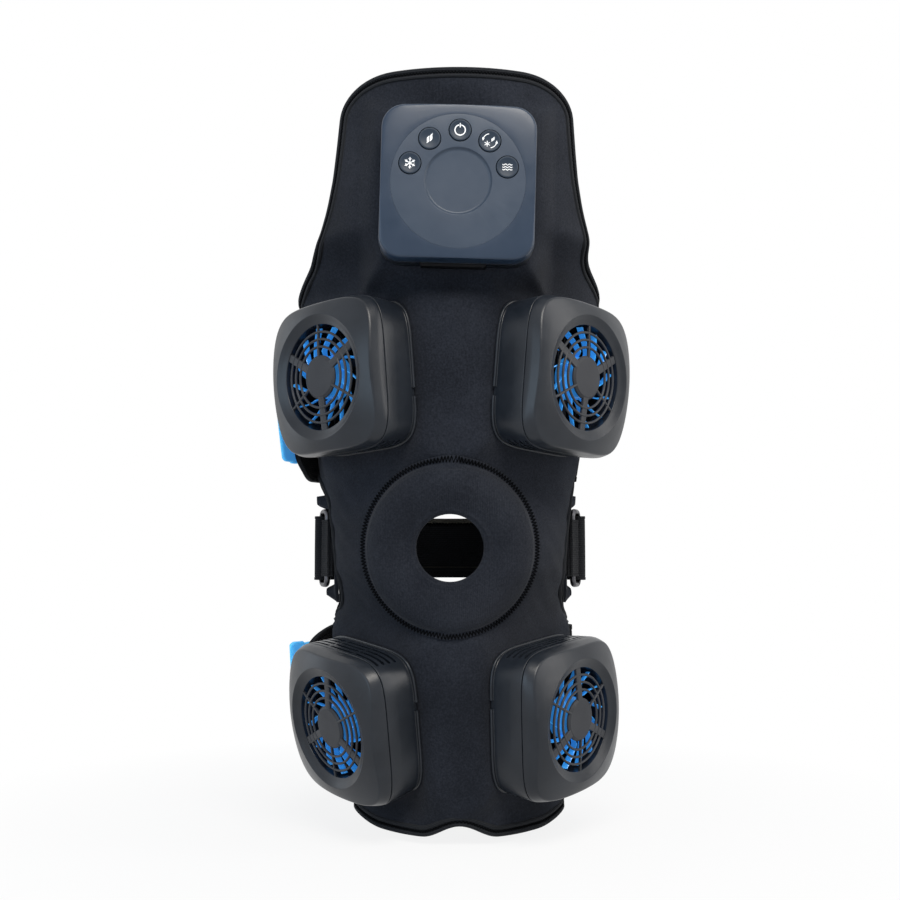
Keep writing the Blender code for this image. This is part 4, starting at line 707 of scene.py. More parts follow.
FINISHES = {
    "knit": knitted("knit", (0.0095, 0.0113, 0.0158), (0.028, 0.032, 0.043)),
    "pad_knit": knitted("pad_knit", (0.0105, 0.0122, 0.0170), (0.029, 0.033, 0.043)),
    "binding": woven("binding", (0.0080, 0.0092, 0.0115), (0.026, 0.028, 0.032), 0.0009),
    "webbing": woven("webbing", (0.0060, 0.0066, 0.0080), (0.019, 0.020, 0.023)),
    "thread": thread("thread", (0.0010, 0.0011, 0.0014), (0.0045, 0.0050, 0.0060)),
    "shell": moulded("shell", (0.0080, 0.0105, 0.0150), (0.020, 0.024, 0.031), 0.32,
                     Specular_IOR_Level=0.30),
    "grille": moulded("grille", (0.020, 0.022, 0.027), (0.044, 0.046, 0.051), 0.42, 0.000010),
    "face": moulded("face", (0.012, 0.025, 0.048), (0.025, 0.040, 0.068), 0.32, 0.000006, 0.06,
                    Specular_IOR_Level=0.34),
    "dial": moulded("dial", (0.030, 0.044, 0.068), (0.046, 0.062, 0.088), 0.36, 0.000008,
                    Specular_IOR_Level=0.30),
    "button": moulded("button", (0.016, 0.026, 0.042), (0.030, 0.042, 0.060), 0.42, 0.000006,
                      Specular_IOR_Level=0.20),
    "dark": moulded("dark", (0.0040, 0.0042, 0.0050), (0.0090, 0.0094, 0.0110), 0.5,
                    Specular_IOR_Level=0.10),
    # Pale tape on the knee strap, partly painted light: its upper band stands in for light falling through
    # the kneecap hole onto the strap's top edge.
    "tape_and_painted_light": woven("tape_and_painted_light", (0.055, 0.052, 0.042), (0.150, 0.140, 0.115), 0.0009),
    # The fan blades' emission is a painted glow that stands in for light falling on them; the blades give no
    # light of their own.
    "fan_blue": moulded("fan_blue", (0.012, 0.260, 0.880), (0.080, 0.480, 0.980), 0.22, 0.000004, 0.5,
                        Coat_Weight=0.5, Emission_Color=(0.050, 0.340, 0.900, 1), Emission_Strength=0.30),
    # The tab's subsurface lets light through it; its emission is a painted glow that stands in for light
    # coming through from behind.
    "tab_blue": moulded("tab_blue", (0.085, 0.440, 0.930), (0.140, 0.540, 0.980), 0.50, 0.00003, 0.4,
                        Subsurface_Weight=0.8, Subsurface_Scale=0.004, Subsurface_Radius=(0.5, 0.8, 1.0),
                        Emission_Color=(0.085, 0.440, 0.930, 1), Emission_Strength=0.30),
    "ring": brushed("ring", (0.10, 0.10, 0.11), (0.05, 0.05, 0.055), 0.34),
    "steel": brushed("steel", (0.55, 0.56, 0.58), (0.35, 0.35, 0.37), 0.26),
    "aluminium": brushed("aluminium", (0.78, 0.79, 0.80), (0.55, 0.56, 0.58), 0.36, (900.0, 40.0, 40.0)),
    "ceramic": moulded("ceramic", (0.70, 0.70, 0.68), (0.80, 0.80, 0.78), 0.45),
    "cell": moulded("cell", (0.10, 0.12, 0.16), (0.16, 0.18, 0.22), 0.42),
    "board": circuit("board", (0.008, 0.075, 0.035), (0.016, 0.16, 0.07)),
    "ink": printed("ink", (0.93, 0.94, 0.95)),
}


# The wrap and its hem

SHEET_ROWS, SHEET_COLUMNS = 161, 161
COLUMN_CROWDING = 0.86
HEM_STEP = 0.0016
HEM_INSET = 0.0011
HEM_INSET_ANGLE = 0.9
# The bound hem's section: distance in from the edge, height above the cloth, and rounding
HEM_SECTION = (
    (0.0056, -0.0004, 0), (0.0053, 0.0003, 0.0003), (0.0048, 0.0010, 0.0006), (0.0035, 0.0009, 0.0006),
    (0.0031, 0.0003, 0.0004), (0.0015, 0.0003, 0.0004), (0.0012, 0.0009, 0.0004), (-0.0004, 0.0010, 0.0008),
    (-0.0011, -0.0006, 0.0008), (-0.0010, -WRAP_THICKNESS / 2, 0),
)
CREASE_SIDE_ANGLES = ((34, 62), (96, 114))
CREASE_KNEE_REACH = 0.045
CREASE_THIGH_HEIGHT = 0.155
CREASE_THIGH_REACH = 0.03
CREASE_SIDE_RISE = 0.00055
CREASE_THIGH_RISE = 0.00035
HEM_STITCH_PLACE = 0.0023
HEM_STITCH_LIFT = 0.0005
HEM_STITCH_BOW = 0.00010
HEM_STITCH_PITCH = 0.0018
HEM_STITCH_HALF = 0.00070
THREAD_RADIUS = 0.00034


def sheet_grid():
    """The angle and height of each point of the sheet, crowded towards its side edges."""
    share = np.linspace(-1, 1, SHEET_COLUMNS)
    wing = WING_ANGLE - HEM_INSET_ANGLE
    column = wing * ((1 - COLUMN_CROWDING) * share + COLUMN_CROWDING * np.sin(share * pi / 2))
    row = np.linspace(TOP_HEIGHT - HEM_INSET, BOTTOM_HEIGHT + HEM_INSET, SHEET_ROWS)
    angle, z = sheet_place(column[None, :], row[:, None])
    shape = (SHEET_ROWS, SHEET_COLUMNS)
    return np.broadcast_to(angle, shape).ravel(), np.broadcast_to(z, shape).ravel()


def creases(angle, z):
    """Soft rumples that the straps' pull leaves between the modules and beside the knee."""
    (start, full), (leave, end) = CREASE_SIDE_ANGLES
    side = fade(np.abs(angle), start, full) * (1 - fade(np.abs(angle), leave, end))
    knee = np.exp(-(z / CREASE_KNEE_REACH) ** 2)
    ripple = np.sin(z * 330 + np.sin(angle * 0.11) * 1.6) * np.sin(angle * 0.21 + z * 90)
    thigh = np.exp(-((z - CREASE_THIGH_HEIGHT) / CREASE_THIGH_REACH) ** 2)
    thigh = thigh * np.exp(-((np.abs(angle) - 30) / 26) ** 2)
    drag = np.sin(angle * 0.34 + z * 140) * np.sin(z * 120 - angle * 0.05)
    return CREASE_SIDE_RISE * side * knee * ripple + CREASE_THIGH_RISE * thigh * drag


def sheet_uv(points):
    """Metres across and along a grid of the sheet, measured on the cloth."""
    grid = points.reshape(SHEET_ROWS, SHEET_COLUMNS, 3)
    across = np.linalg.norm(np.diff(grid, axis=1), axis=2)
    run = np.concatenate([np.zeros((SHEET_ROWS, 1)), np.cumsum(across, 1)], 1)
    run -= run[:, SHEET_COLUMNS // 2][:, None]
    return np.stack([run.ravel(), grid[:, :, 2].ravel()], 1)


def under_modules(points):
    """Which of the points have risen into a flat base."""
    raised = np.zeros(len(points), bool)
    for _, inverse, half in PRESSED_FLATS:
        local = carried(points, inverse)
        under = (np.abs(local) < half).all(1)
        raised |= under & (local[:, 2] > -SEAT_GAP)
    return raised


def make_wrap():
    """The padded sheet, with its kneecap hole and a window under each module."""
    angle, z = sheet_grid()
    outer = on_cloth(angle, z, creases(angle, z))
    seated = under_modules(outer)
    outer[seated] = on_cloth(angle, z)[seated]
    points = np.concatenate([outer, on_cloth(angle, z, -WRAP_THICKNESS)])
    uv = np.tile(sheet_uv(outer), (2, 1))
    mesh = mesh_of("wrap_cloth", points, sheet_faces(SHEET_ROWS, SHEET_COLUMNS), uv)
    wrap = piece("wrap_cloth", mesh, "knit", nodes=["wrap"])
    reach_out = KNEE_RADIUS / 2
    wall = [(PATELLA_HOLE_RADIUS, -reach_out), (PATELLA_HOLE_RADIUS, reach_out)]
    hole, faces = turned(wall, PATELLA_HOLE_TURNS)
    turn = np.array(Matrix.Translation((0, -KNEE_RADIUS, 0)) @ Matrix.Rotation(pi / 2, 4, "X"))
    parts = [(carried(hole, turn), faces)]
    for matrix in SEAT_MATRICES.values():
        low, high = -2 * WRAP_THICKNESS, WRAP_THICKNESS
        corners, faces = block((-WINDOW_HALF, -WINDOW_HALF, low), (WINDOW_HALF, WINDOW_HALF, high))
        parts.append((carried(np.array(corners), np.array(matrix)), faces))
    cut(wrap, *joined(parts))


def smoothed(values, width):
    """A closed run of vectors, each averaged with its neighbours."""
    total = sum(np.roll(values, shift, 0) for shift in range(-width, width + 1))
    return total / (2 * width + 1)


def border_frame(step):
    """Equal steps round the sheet's edge: points, outward normals, and directions in across the cloth."""
    angle, z = sheet_grid()
    border = border_of(SHEET_ROWS, SHEET_COLUMNS)
    angle, z = angle[border], z[border]
    points, normals = cloth(angle, z), cloth_normals(angle, z)
    closed = np.concatenate([points, points[:1]])
    at, run = along(closed, step)
    points = resampled(closed, run, at[:-1])
    normals = unit(smoothed(resampled(np.concatenate([normals, normals[:1]]), run, at[:-1]), 3))
    points = smoothed(points, 1)
    forward = unit(smoothed(np.roll(points, -1, 0) - np.roll(points, 1, 0), 2))
    inward = unit(np.cross(normals, forward))
    middle = cloth(np.zeros(len(points)), np.clip(points[:, 2], BOTTOM_HEIGHT * 0.8, TOP_HEIGHT * 0.8))
    if np.sum((middle - points) * inward) < 0:
        inward = -inward
    return points, normals, unit(inward - normals * np.sum(inward * normals, 1)[:, None]), at[:-1]


def make_hem():
    """The binding folded over the sheet's edge, and the zigzag sewn along it."""
    points, normals, inward, run = border_frame(HEM_STEP)
    upper = filleted(HEM_SECTION, 3)
    lower = [(d, -WRAP_THICKNESS - h) for d, h in reversed(upper[:-1])]
    section = np.array(upper + lower)
    grid = points[:, None] + inward[:, None] * section[None, :, :1] + normals[:, None] * section[None, :, 1:]
    uv = grid_uv(run, lengths_along(section))
    faces = tube_faces(len(points), len(section), closed=True)
    piece("hem_binding", mesh_of("hem_binding", grid.reshape(-1, 3), faces, uv), "binding")
    points, normals, inward, _ = border_frame(HEM_STITCH_PITCH / 2)
    way = np.where(np.arange(len(points)) % 2, 1, -1)[:, None]
    if len(points) % 2:
        points, normals, inward, way = points[:-1], normals[:-1], inward[:-1], way[:-1]
    zigzag = points + inward * (HEM_STITCH_PLACE + way * HEM_STITCH_HALF) + normals * HEM_STITCH_LIFT
    sewn = stitches(zigzag, np.roll(zigzag, -1, 0), normals, THREAD_RADIUS, HEM_STITCH_BOW)
    piece("hem_stitches", mesh_of("hem_stitches", *sewn, sharp=None), "thread")


# The cushioned ring round the kneecap

PAD_MARGIN_BASE = 0.0002
PAD_TURNS = 144
# Radius, height above the cloth and rounding, from the sewn margin over the crown to the hole
PAD_SECTION = (
    (0.0496, PAD_MARGIN_BASE, 0), (0.0501, 0.0007, 0.0003), (0.0496, 0.0011, 0.0004),
    (0.0478, 0.0012, 0.0006), (0.0465, 0.0014, 0.0008), (0.0453, 0.0031, 0.0016),
    (0.0432, 0.0051, 0.0030), (0.0396, 0.0064, 0.0060), (0.0352, 0.0068, 0.0060),
    (0.0308, 0.0061, 0.0060), (0.0262, 0.0045, 0.0050), (0.0230, 0.0030, 0.0020),
    (0.0208, 0.0028, 0.0007), (0.0200, 0.0019, 0.0004), (0.0188, 0.0014, 0.0004),
    (0.0184, PAD_MARGIN_BASE, 0),
)
PAD_HELD_RADII = (0.0214, 0.0463)
PAD_SHARP_ANGLE = 60
PAD_STITCH_RADII = (0.0467, 0.0499)
PAD_STITCH_COUNT = 170
PAD_STITCH_LIFT = 0.0013
PAD_STITCH_RADIUS = 0.00031
PAD_HELD_LIFT = 0.0010
PUFF_PRESSURE = 4.0
PUFF_FRAMES = 20
PUFF_CAP = 0.0009
FRONT_PLACE_ROUNDS = 12


def front_places(x, z):
    """The angles and heights whose cloth points lie at x and z on the front of the knee."""
    x, z = np.asarray(x, float), np.asarray(z, float)
    angle, height = np.degrees(np.arctan2(x, KNEE_RADIUS)), z.copy()
    for _ in range(FRONT_PLACE_ROUNDS):
        points = cloth(angle, height)
        angle = angle + np.degrees((x - points[:, 0]) / (KNEE_RADIUS * np.cos(np.radians(angle))))
        height = height + z - points[:, 2]
    return angle, height


def over_knee(radius, turn, lift):
    """Points at heights over the cloth, laid out round the kneecap hole."""
    radius, turn, lift = rows_of(radius, turn, lift)
    angle, z = front_places(radius * np.cos(turn), radius * np.sin(turn))
    return on_cloth(angle, z, lift)


def puffed(made, held, cap):
    """Blows the piece up from inside as sewn cloth, with the held points kept where they are."""
    scene = bpy.context.scene
    before = np.array([vertex.co for vertex in made.data.vertices])
    sewn = made.vertex_groups.new(name="sewn")
    sewn.add([int(i) for i in np.flatnonzero(held)], 1.0, "REPLACE")
    change = made.modifiers.new("cloth", "CLOTH")
    settings = change.settings
    settings.quality = 6
    settings.mass = 0.2
    settings.tension_stiffness = settings.compression_stiffness = 30
    settings.shear_stiffness = 15
    settings.bending_stiffness = 0.6
    settings.use_pressure = True
    settings.uniform_pressure_force = PUFF_PRESSURE
    settings.vertex_group_mass = "sewn"
    settings.effector_weights.gravity = 0
    scene.frame_start, scene.frame_end = 1, PUFF_FRAMES
    for frame_number in range(1, PUFF_FRAMES + 1):
        scene.frame_set(frame_number)
    graph = bpy.context.evaluated_depsgraph_get()
    shape = made.evaluated_get(graph).to_mesh()
    moved = np.array([vertex.co for vertex in shape.vertices]) - before
    made.modifiers.clear()
    scene.frame_set(1)
    length = np.linalg.norm(moved, axis=1, keepdims=True)
    moved = np.where(held[:, None], 0, moved * np.minimum(1, cap / np.maximum(length, cap / 100)))
    for vertex, place in zip(made.data.vertices, before + moved):
        vertex.co = place
    made.data.update()


def make_patella_pad():
    """The cushioned ring, blown up as cloth, and the zigzag that sews it down."""
    section = np.array(filleted(PAD_SECTION, 3))
    turn = 2 * np.pi * np.arange(PAD_TURNS) / PAD_TURNS
    points = over_knee(section[:, :1], turn[None, :], section[:, 1:])
    faces = tube_faces(len(section), PAD_TURNS, closed=True)
    flat = section[:, 0].max() - lengths_along(section)
    uv = np.stack([flat[:, None] * np.cos(turn), flat[:, None] * np.sin(turn)], -1).reshape(-1, 2)
    mesh = mesh_of("patella_cushion", points, faces, uv, sharp=PAD_SHARP_ANGLE)
    pad = piece("patella_cushion", mesh, "pad_knit", nodes=["patella_pad"])
    radius, lift = (np.repeat(values, PAD_TURNS) for values in section.T)
    inner, outer = PAD_HELD_RADII
    puffed(pad, (radius > outer) | (radius < inner) | (lift < PAD_HELD_LIFT), PUFF_CAP)
    count = 2 * PAD_STITCH_COUNT
    turn = 2 * np.pi * np.arange(count) / count
    radius = np.where(np.arange(count) % 2, *PAD_STITCH_RADII)
    places = over_knee(radius, turn, PAD_STITCH_LIFT)
    normals = unit(over_knee(radius, turn, 2 * PAD_STITCH_LIFT) - places)
    sewn = stitches(places, np.roll(places, -1, 0), normals, PAD_STITCH_RADIUS, PAD_STITCH_RADIUS / 3)
    piece("cushion_stitches", mesh_of("cushion_stitches", *sewn, sharp=None), "thread")


# Side patches, keepers, rings and the middle strap

PATCH_THICKNESS = 0.0024
PATCH_HALF_HEIGHT = 0.033
PATCH_BACK_ANGLE = 101.0
PATCH_FLARES = {"left": (0.0128, 0.0070), "right": (0.0080, 0.0042)}
PATCH_CORNER_RISES = (0.0016, 0.0046)
PATCH_CALM_HALF_HEIGHT = 0.0195
PATCH_PULL_SHARE = 0.85
PATCH_GRID = (49, 21)
PATCH_CORNER_TURN = 4
PATCH_LEAST_TURN = 2
PATCH_PULL_START_SHARE = 0.18
PATCH_RISE_START_SHARE = 0.1
PATCH_RIM_THINNING_SHARE = 0.35
PATCH_WAVE_RISE = 0.0003
PATCH_WAVE_HEIGHTS = (0.012, 0.03)
KEEPER_HALF_HEIGHT = 0.0170
KEEPER_THICKNESS = 0.0014
KEEPER_HEM = 0.0014
KEEPER_START_ANGLE = 82.5
KEEPER_FRONT_ANGLE = KEEPER_START_ANGLE + 10
RING_WIRE_RADIUS = 0.00175
RING_HALF_HEIGHT = 0.0220
RING_REACH = 0.0115
RING_CORNER_RADIUS = 0.0032
RING_STEP = 0.0012
RING_SWING = 25.0
RUNNING_GAP = 0.0004
KEEPER_LOOP_RADIUS = RING_WIRE_RADIUS + RUNNING_GAP + KEEPER_THICKNESS / 2
KEEPER_LIE = KNEE_RADIUS + 2 * SEAT_GAP + KEEPER_THICKNESS / 2
MIDDLE_STRAP_HALF_HEIGHT = 0.0195
STRAP_THICKNESS = 0.0024
STRAP_LIFT = 0.0011
STRAP_FOLD_ANGLE = 14.0
PALE_BAND_RISE = 0.0003
# Heights of the pale tapes on the strap; the upper one along the top edge is also painted light from the
# kneecap hole.
STRAP_TAPES_AND_PAINTED_LIGHT = ((0.0164, 0.0193), (-0.0128, -0.0124))
MIDDLE_STRAP_HEM = 0.0018
SEAM_THREAD_RADIUS = 0.00024
SEAM_THREAD_BOW = 0.0001
# Behind the knee: where the seams show, and each seam's height and half zigzag
BEHIND_ANGLES = (118, 242)
BEHIND_STEPS = 150
BEHIND_SEAM_SINK = 0.00015
BEHIND_SEAMS = ((0.0158, 0.0011), (-0.0162, 0.0))
SIDES = {"left": -1, "right": 1}


def make_side_patch(side, sign):
    """A stretch panel in the notch beside the knee, its corners pulled out by the ring."""
    rows, columns = PATCH_GRID
    z = PATCH_HALF_HEIGHT * np.linspace(1, -1, rows)
    first = edge_angle(z) + degrees(4 * SEAT_GAP / KNEE_RADIUS)
    corner = fade(np.abs(z), PATCH_CALM_HALF_HEIGHT, PATCH_HALF_HEIGHT)
    last = np.maximum(PATCH_BACK_ANGLE - PATCH_CORNER_TURN * corner, first + PATCH_LEAST_TURN)
    share = np.linspace(0, 1, columns)
    angle = first[:, None] + (last - first)[:, None] * share
    flare = np.where(z > 0, *PATCH_FLARES[side])
    rise = np.where(z > 0, *PATCH_CORNER_RISES)[:, None] * corner[:, None]
    height = z[:, None] - np.sign(z)[:, None] * rise * fade(share, PATCH_RISE_START_SHARE, 1)
    taut = fade(np.abs(z), PATCH_CALM_HALF_HEIGHT, PATCH_HALF_HEIGHT * PATCH_PULL_SHARE)
    pull = fade(share, PATCH_PULL_START_SHARE, 1) * taut[:, None]
    wave = PATCH_WAVE_RISE * np.sin(angle * 0.9) * np.sin(z * 260)[:, None]
    wave = wave * fade(np.abs(z), *PATCH_WAVE_HEIGHTS)[:, None]
    trim = np.minimum(np.minimum(share, 1 - share) * columns / 2, 1)
    rim, middle = 1 - PATCH_RIM_THINNING_SHARE * (1 - trim), PATCH_THICKNESS / 2
    aside, back = leg_axis(z)
    turn = np.radians(sign * angle)
    points = []
    for depth in (0, PATCH_THICKNESS):
        radius = KNEE_RADIUS + flare[:, None] * pull - middle + (middle - depth) * rim + wave * trim
        across, rearward = aside[:, None] + radius * np.sin(turn), back[:, None] - radius * np.cos(turn)
        points.append(np.stack([across, rearward, height], -1).reshape(-1, 3))
    uv = np.stack([np.radians(angle) * KNEE_RADIUS, np.broadcast_to(z[:, None], angle.shape)], -1)
    uv = np.tile(uv.reshape(-1, 2), (2, 1))
    mesh = mesh_of("side_panel", np.concatenate(points), sheet_faces(rows, columns), uv)
    made = piece(f"side_panel_{side}", mesh, "pad_knit", nodes=[f"side_patch_{side}"])


def arc_path(centre, radius, start, end, steps):
    """Level points round a centre, from one angle from the front to another."""
    turn = np.radians(np.linspace(start, end, steps + 1))
    flat = np.stack([np.sin(turn), -np.cos(turn), np.zeros_like(turn)], -1)
    return np.asarray(centre, float) + flat * radius


def ring_bars(sign):
    """The middles of the ring's front and rear bars, in plan."""
    front = heading(sign * KEEPER_FRONT_ANGLE) * (KEEPER_LIE + KEEPER_LOOP_RADIUS + SEAT_GAP)
    return front, front + heading(sign * (KEEPER_FRONT_ANGLE + 90 - RING_SWING)) * RING_REACH


def webbing_section(half, thickness, hem=0.0022, groove=0.00028):
    """A webbing's closed section: (across, out) points with sewn hems and soft edges."""
    soft = thickness * 0.42
    flat, raised = thickness / 2, thickness / 2 + groove * 0.4
    side = [
        (-half, 0, 0), (-half, flat, soft), (-half + hem * 0.18, raised, soft),
        (-half + hem * 0.86, raised, groove), (-half + hem, flat - groove, groove),
        (-half + hem * 1.2, flat - groove * 0.2, groove), (0, flat, 0),
    ]
    quarter = filleted(side, 3)
    top = quarter + [(-w, h) for w, h in reversed(quarter[:-1])]
    return np.array(top + [(w, -h) for w, h in reversed(top[1:-1])])


def make_ribbon(name, path, thickness, half_height, nodes, hem=0.0022):
    """Webbing standing on edge along a level path."""
    path = np.asarray(path, float)
    steps = np.linalg.norm(np.diff(path, axis=0), axis=1)
    path = path[np.concatenate([[True], steps > SEAT_GAP / 3])]
    run = unit(np.gradient(path, axis=0))
    aside = np.stack([-run[:, 1], run[:, 0], np.zeros(len(run))], -1)
    section = webbing_section(half_height, thickness, hem)
    up = np.array([0, 0, 1.0])
    grid = path[:, None] + aside[:, None] * section[None, :, 1:] + up * section[None, :, :1]
    uv = grid_uv(lengths_along(path), section[:, 0])
    mesh = mesh_of(name, grid.reshape(-1, 3), tube_faces(*grid.shape[:2]), uv)
    piece(name, mesh, "webbing", nodes=nodes)


def make_keeper(side, sign):
    """The webbing loop that holds a ring: along the leg, round the ring's front bar, and back."""
    front, _ = ring_bars(sign)
    bar_angle, over = KEEPER_FRONT_ANGLE, KEEPER_LIE + KEEPER_THICKNESS + RUNNING_GAP
    path = np.concatenate([
        arc_path((0, 0, 0), KEEPER_LIE, sign * KEEPER_START_ANGLE, sign * (bar_angle - 2), 8),
        arc_path(front, KEEPER_LOOP_RADIUS, sign * (bar_angle + 180), sign * (bar_angle - 45), 24),
        arc_path((0, 0, 0), over, sign * (bar_angle - 6), sign * KEEPER_START_ANGLE, 6),
    ])
    nodes = [f"ring_keeper_{side}"]
    make_ribbon(f"keeper_{side}", path, KEEPER_THICKNESS, KEEPER_HALF_HEIGHT, nodes, KEEPER_HEM)


def make_ring(side, sign):
    """A flat wire ring with round corners, tilted off the leg by the strap's pull."""
    front, rear = (np.array(bar) for bar in ring_bars(sign))
    direction = (rear - front) / RING_REACH
    centre, half = (front + rear) / 2, RING_REACH / 2
    path = []
    for cross, rise, start in ((1, 1, 0), (-1, 1, 90), (-1, -1, 180), (1, -1, 270)):
        for step in range(9):
            turn = radians(start + 90 * step / 8)
            x = cross * (half - RING_CORNER_RADIUS) + RING_CORNER_RADIUS * cos(turn)
            z = rise * (RING_HALF_HEIGHT - RING_CORNER_RADIUS) + RING_CORNER_RADIUS * sin(turn)
            path.append(centre + direction * x + np.array([0, 0, z]))
    path = np.array(path + path[:1])
    at, run = along(path, RING_STEP)
    wire = tube(resampled(path, run, at[:-1]), RING_WIRE_RADIUS, 16, closed=True)
    piece(f"wire_ring_{side}", mesh_of("wire_ring", *wire, sharp=None), "ring", nodes=[f"strap_ring_{side}"])


def strap_half_path(sign):
    """From behind the knee forwards, round the ring's rear bar, and back along itself."""
    _, bar = ring_bars(sign)
    loop = RING_WIRE_RADIUS + RUNNING_GAP + STRAP_THICKNESS / 2
    lie = KNEE_RADIUS + STRAP_LIFT + STRAP_THICKNESS / 2
    tangent = sqrt(max(bar.length_squared - (lie + loop) ** 2, SEAT_GAP ** 2))
    leave = degrees(atan2(abs(bar.x), -bar.y)) + degrees(pi / 2 - atan2(lie + loop, tangent))
    over = lie + STRAP_THICKNESS + 2 * RUNNING_GAP
    return np.concatenate([
        arc_path((0, 0, 0), lie, sign * 180, sign * leave, 40),
        arc_path(bar, loop, sign * (leave + 180), sign * (leave + 400), 36),
        arc_path((0, 0, 0), over, sign * leave, sign * (leave + STRAP_FOLD_ANGLE), 8),
    ])


def tape_and_painted_light_strip(turn, edges):
    """A thin pale band sewn to the strap's inner face, from (height, rise) corners of its section; the upper
    band is also painted light on the strap's top edge.
    """
    lie = KNEE_RADIUS + STRAP_LIFT
    height, rise = (np.array(values) for values in zip(*edges))
    radius = lie - rise[None, :]
    grid = np.stack([radius * np.sin(turn)[:, None], -radius * np.cos(turn)[:, None],
                     np.broadcast_to(height, (len(turn), len(edges)))], -1)
    return grid.reshape(-1, 3), tube_faces(*grid.shape[:2]), grid_uv(turn * lie, height)


def make_middle_strap():
    """The strap through both rings, with the seams and the pale tapes that show through the kneecap hole; the
    upper tape is also painted light on the strap's top edge.
    """
    path = np.concatenate([strap_half_path(-1)[::-1], strap_half_path(1)[1:]])
    half_height, nodes = MIDDLE_STRAP_HALF_HEIGHT, ["middle_strap"]
    make_ribbon("knee_strap", path, STRAP_THICKNESS, half_height, nodes, MIDDLE_STRAP_HEM)
    turn = np.radians(np.linspace(*BEHIND_ANGLES, BEHIND_STEPS))
    lie = KNEE_RADIUS + STRAP_LIFT - BEHIND_SEAM_SINK
    parts = []
    for middle, half in BEHIND_SEAMS:
        way = np.where(np.arange(len(turn)) % 2, half, -half)
        row = np.stack([lie * np.sin(turn), -lie * np.cos(turn), middle + way], -1)
        inward = -unit(row * np.array([1, 1, 0]))
        pace = 1 if half else 2
        starts = slice(None, -1, pace)
        sewn = stitches(row[starts], row[1::pace], inward[starts], SEAM_THREAD_RADIUS, SEAM_THREAD_BOW)
        parts.append(sewn)
    mesh = mesh_of("knee_strap_stitches", *joined(parts), sharp=None)
    piece("knee_strap_stitches", mesh, "thread")
    tapes_and_painted_light = []
    for low, high in STRAP_TAPES_AND_PAINTED_LIGHT:
        edges = [(low, -PALE_BAND_RISE / 2), (low, PALE_BAND_RISE), (high, PALE_BAND_RISE), (high, -PALE_BAND_RISE / 2)]
        tapes_and_painted_light.append(tape_and_painted_light_strip(turn, edges))
    made = joined([(points, faces) for points, faces, _ in tapes_and_painted_light])
    mesh = mesh_of("knee_strap_tape_and_painted_light", *made, np.concatenate([uv for _, _, uv in tapes_and_painted_light]))
    piece("knee_strap_tape_and_painted_light", mesh, "tape_and_painted_light")


# The two wide straps and their pull tabs

STRAP_HALF_HEIGHT = 0.0290
STRAP_CORNER_DROP = 0.0150
STRAP_CORNER_LENGTH = 0.0280
STRAP_START_ANGLE = 98.0
WIDE_STRAPS = {
    "upper": {"height": 0.0700, "leave": 247.5, "end": 277.0},
    "lower": {"height": -0.0755, "leave": 231.0, "end": 264.5},
}
TAB_THICKNESS = 0.0020
TAB_HALF_HEIGHT = 0.0190
TAB_OVERLAP = 0.0080
TAB_REACH = 0.0105
TAB_BEND = 2.0
TAB_CORNER = 0.0035
TAB_LIP_RISE = 0.00025
TAB_LIP_REACHES = (0.0012, 0.0018)
TAB_SHARE_COUNT = 41
STRAP_STEPS = 110
STRAP_TIP_STEPS = 22
STRAP_HEM = 0.0034
STRAP_HEM_GROOVE = 0.0003
STRAP_SEAM_INSET = 0.0046
STRAP_SEAM_START_TURN = 4
STRAP_SEAM_STEP_ANGLE = 1.1


def strap_points(angle, z, leave, lift):
    """Points of a wide strap: over the cloth until it leaves it along a tangent."""
    angle, z, lift = rows_of(angle, z, lift)
    points = on_cloth(angle, z, lift)
    aside, back = leg_axis(points[:, 2])
    centre = np.stack([aside, back, points[:, 2]], 1)
    return centre + (points - centre) / np.cos(np.radians(np.maximum(angle - leave, 0)))[:, None]


def make_wide_strap(name, height, leave, end):
    """A wide strap sewn behind the right edge of the wrap, round the leg to the left side."""
    radius = float(curve_through(HALF_WIDTHS, height))
    corner_turn = degrees(STRAP_CORNER_LENGTH / (radius / cos(radians(end - leave)) ** 2))
    plain = np.linspace(STRAP_START_ANGLE, end - corner_turn, STRAP_STEPS)
    tip = end - corner_turn * (1 - np.sin(np.linspace(0, pi / 2, STRAP_TIP_STEPS))[1:])
    angle = np.concatenate([plain, tip])
    past = np.clip(1 - (end - angle) / corner_turn, 0, 1)
    half = STRAP_HALF_HEIGHT - STRAP_CORNER_DROP * (1 - np.sqrt(1 - past * past))
    section = webbing_section(STRAP_HALF_HEIGHT, STRAP_THICKNESS, STRAP_HEM, STRAP_HEM_GROOVE)
    z = height + section[None, :, 0] * (half / STRAP_HALF_HEIGHT)[:, None]
    lift = STRAP_LIFT + STRAP_THICKNESS / 2 + section[None, :, 1]
    points = strap_points(angle[:, None], z, leave, lift)
    uv = grid_uv(np.radians(angle) * radius, section[:, 0])
    mesh = mesh_of(name, points, tube_faces(len(angle), len(section)), uv)
    piece(f"{name}_webbing", mesh, "webbing", nodes=[f"{name}_strap"])
    at = np.arange(STRAP_START_ANGLE + STRAP_SEAM_START_TURN, end - corner_turn, STRAP_SEAM_STEP_ANGLE)
    seams = []
    for share in (-1, 1):
        place = height + share * (STRAP_HALF_HEIGHT - STRAP_SEAM_INSET)
        seam = strap_points(at, place, leave, STRAP_LIFT + STRAP_THICKNESS)
        normals = unit(strap_points(at, place, leave, STRAP_LIFT + 2 * STRAP_THICKNESS) - seam)
        starts = seam[:-1:2]
        ends = seam[1::2][:len(starts)]
        seams.append(stitches(starts, ends, normals[:-1:2], SEAM_THREAD_RADIUS, SEAM_THREAD_BOW))
    mesh = mesh_of(f"{name}_strap_stitches", *joined(seams), sharp=None)
    piece(f"{name}_strap_stitches", mesh, "thread")


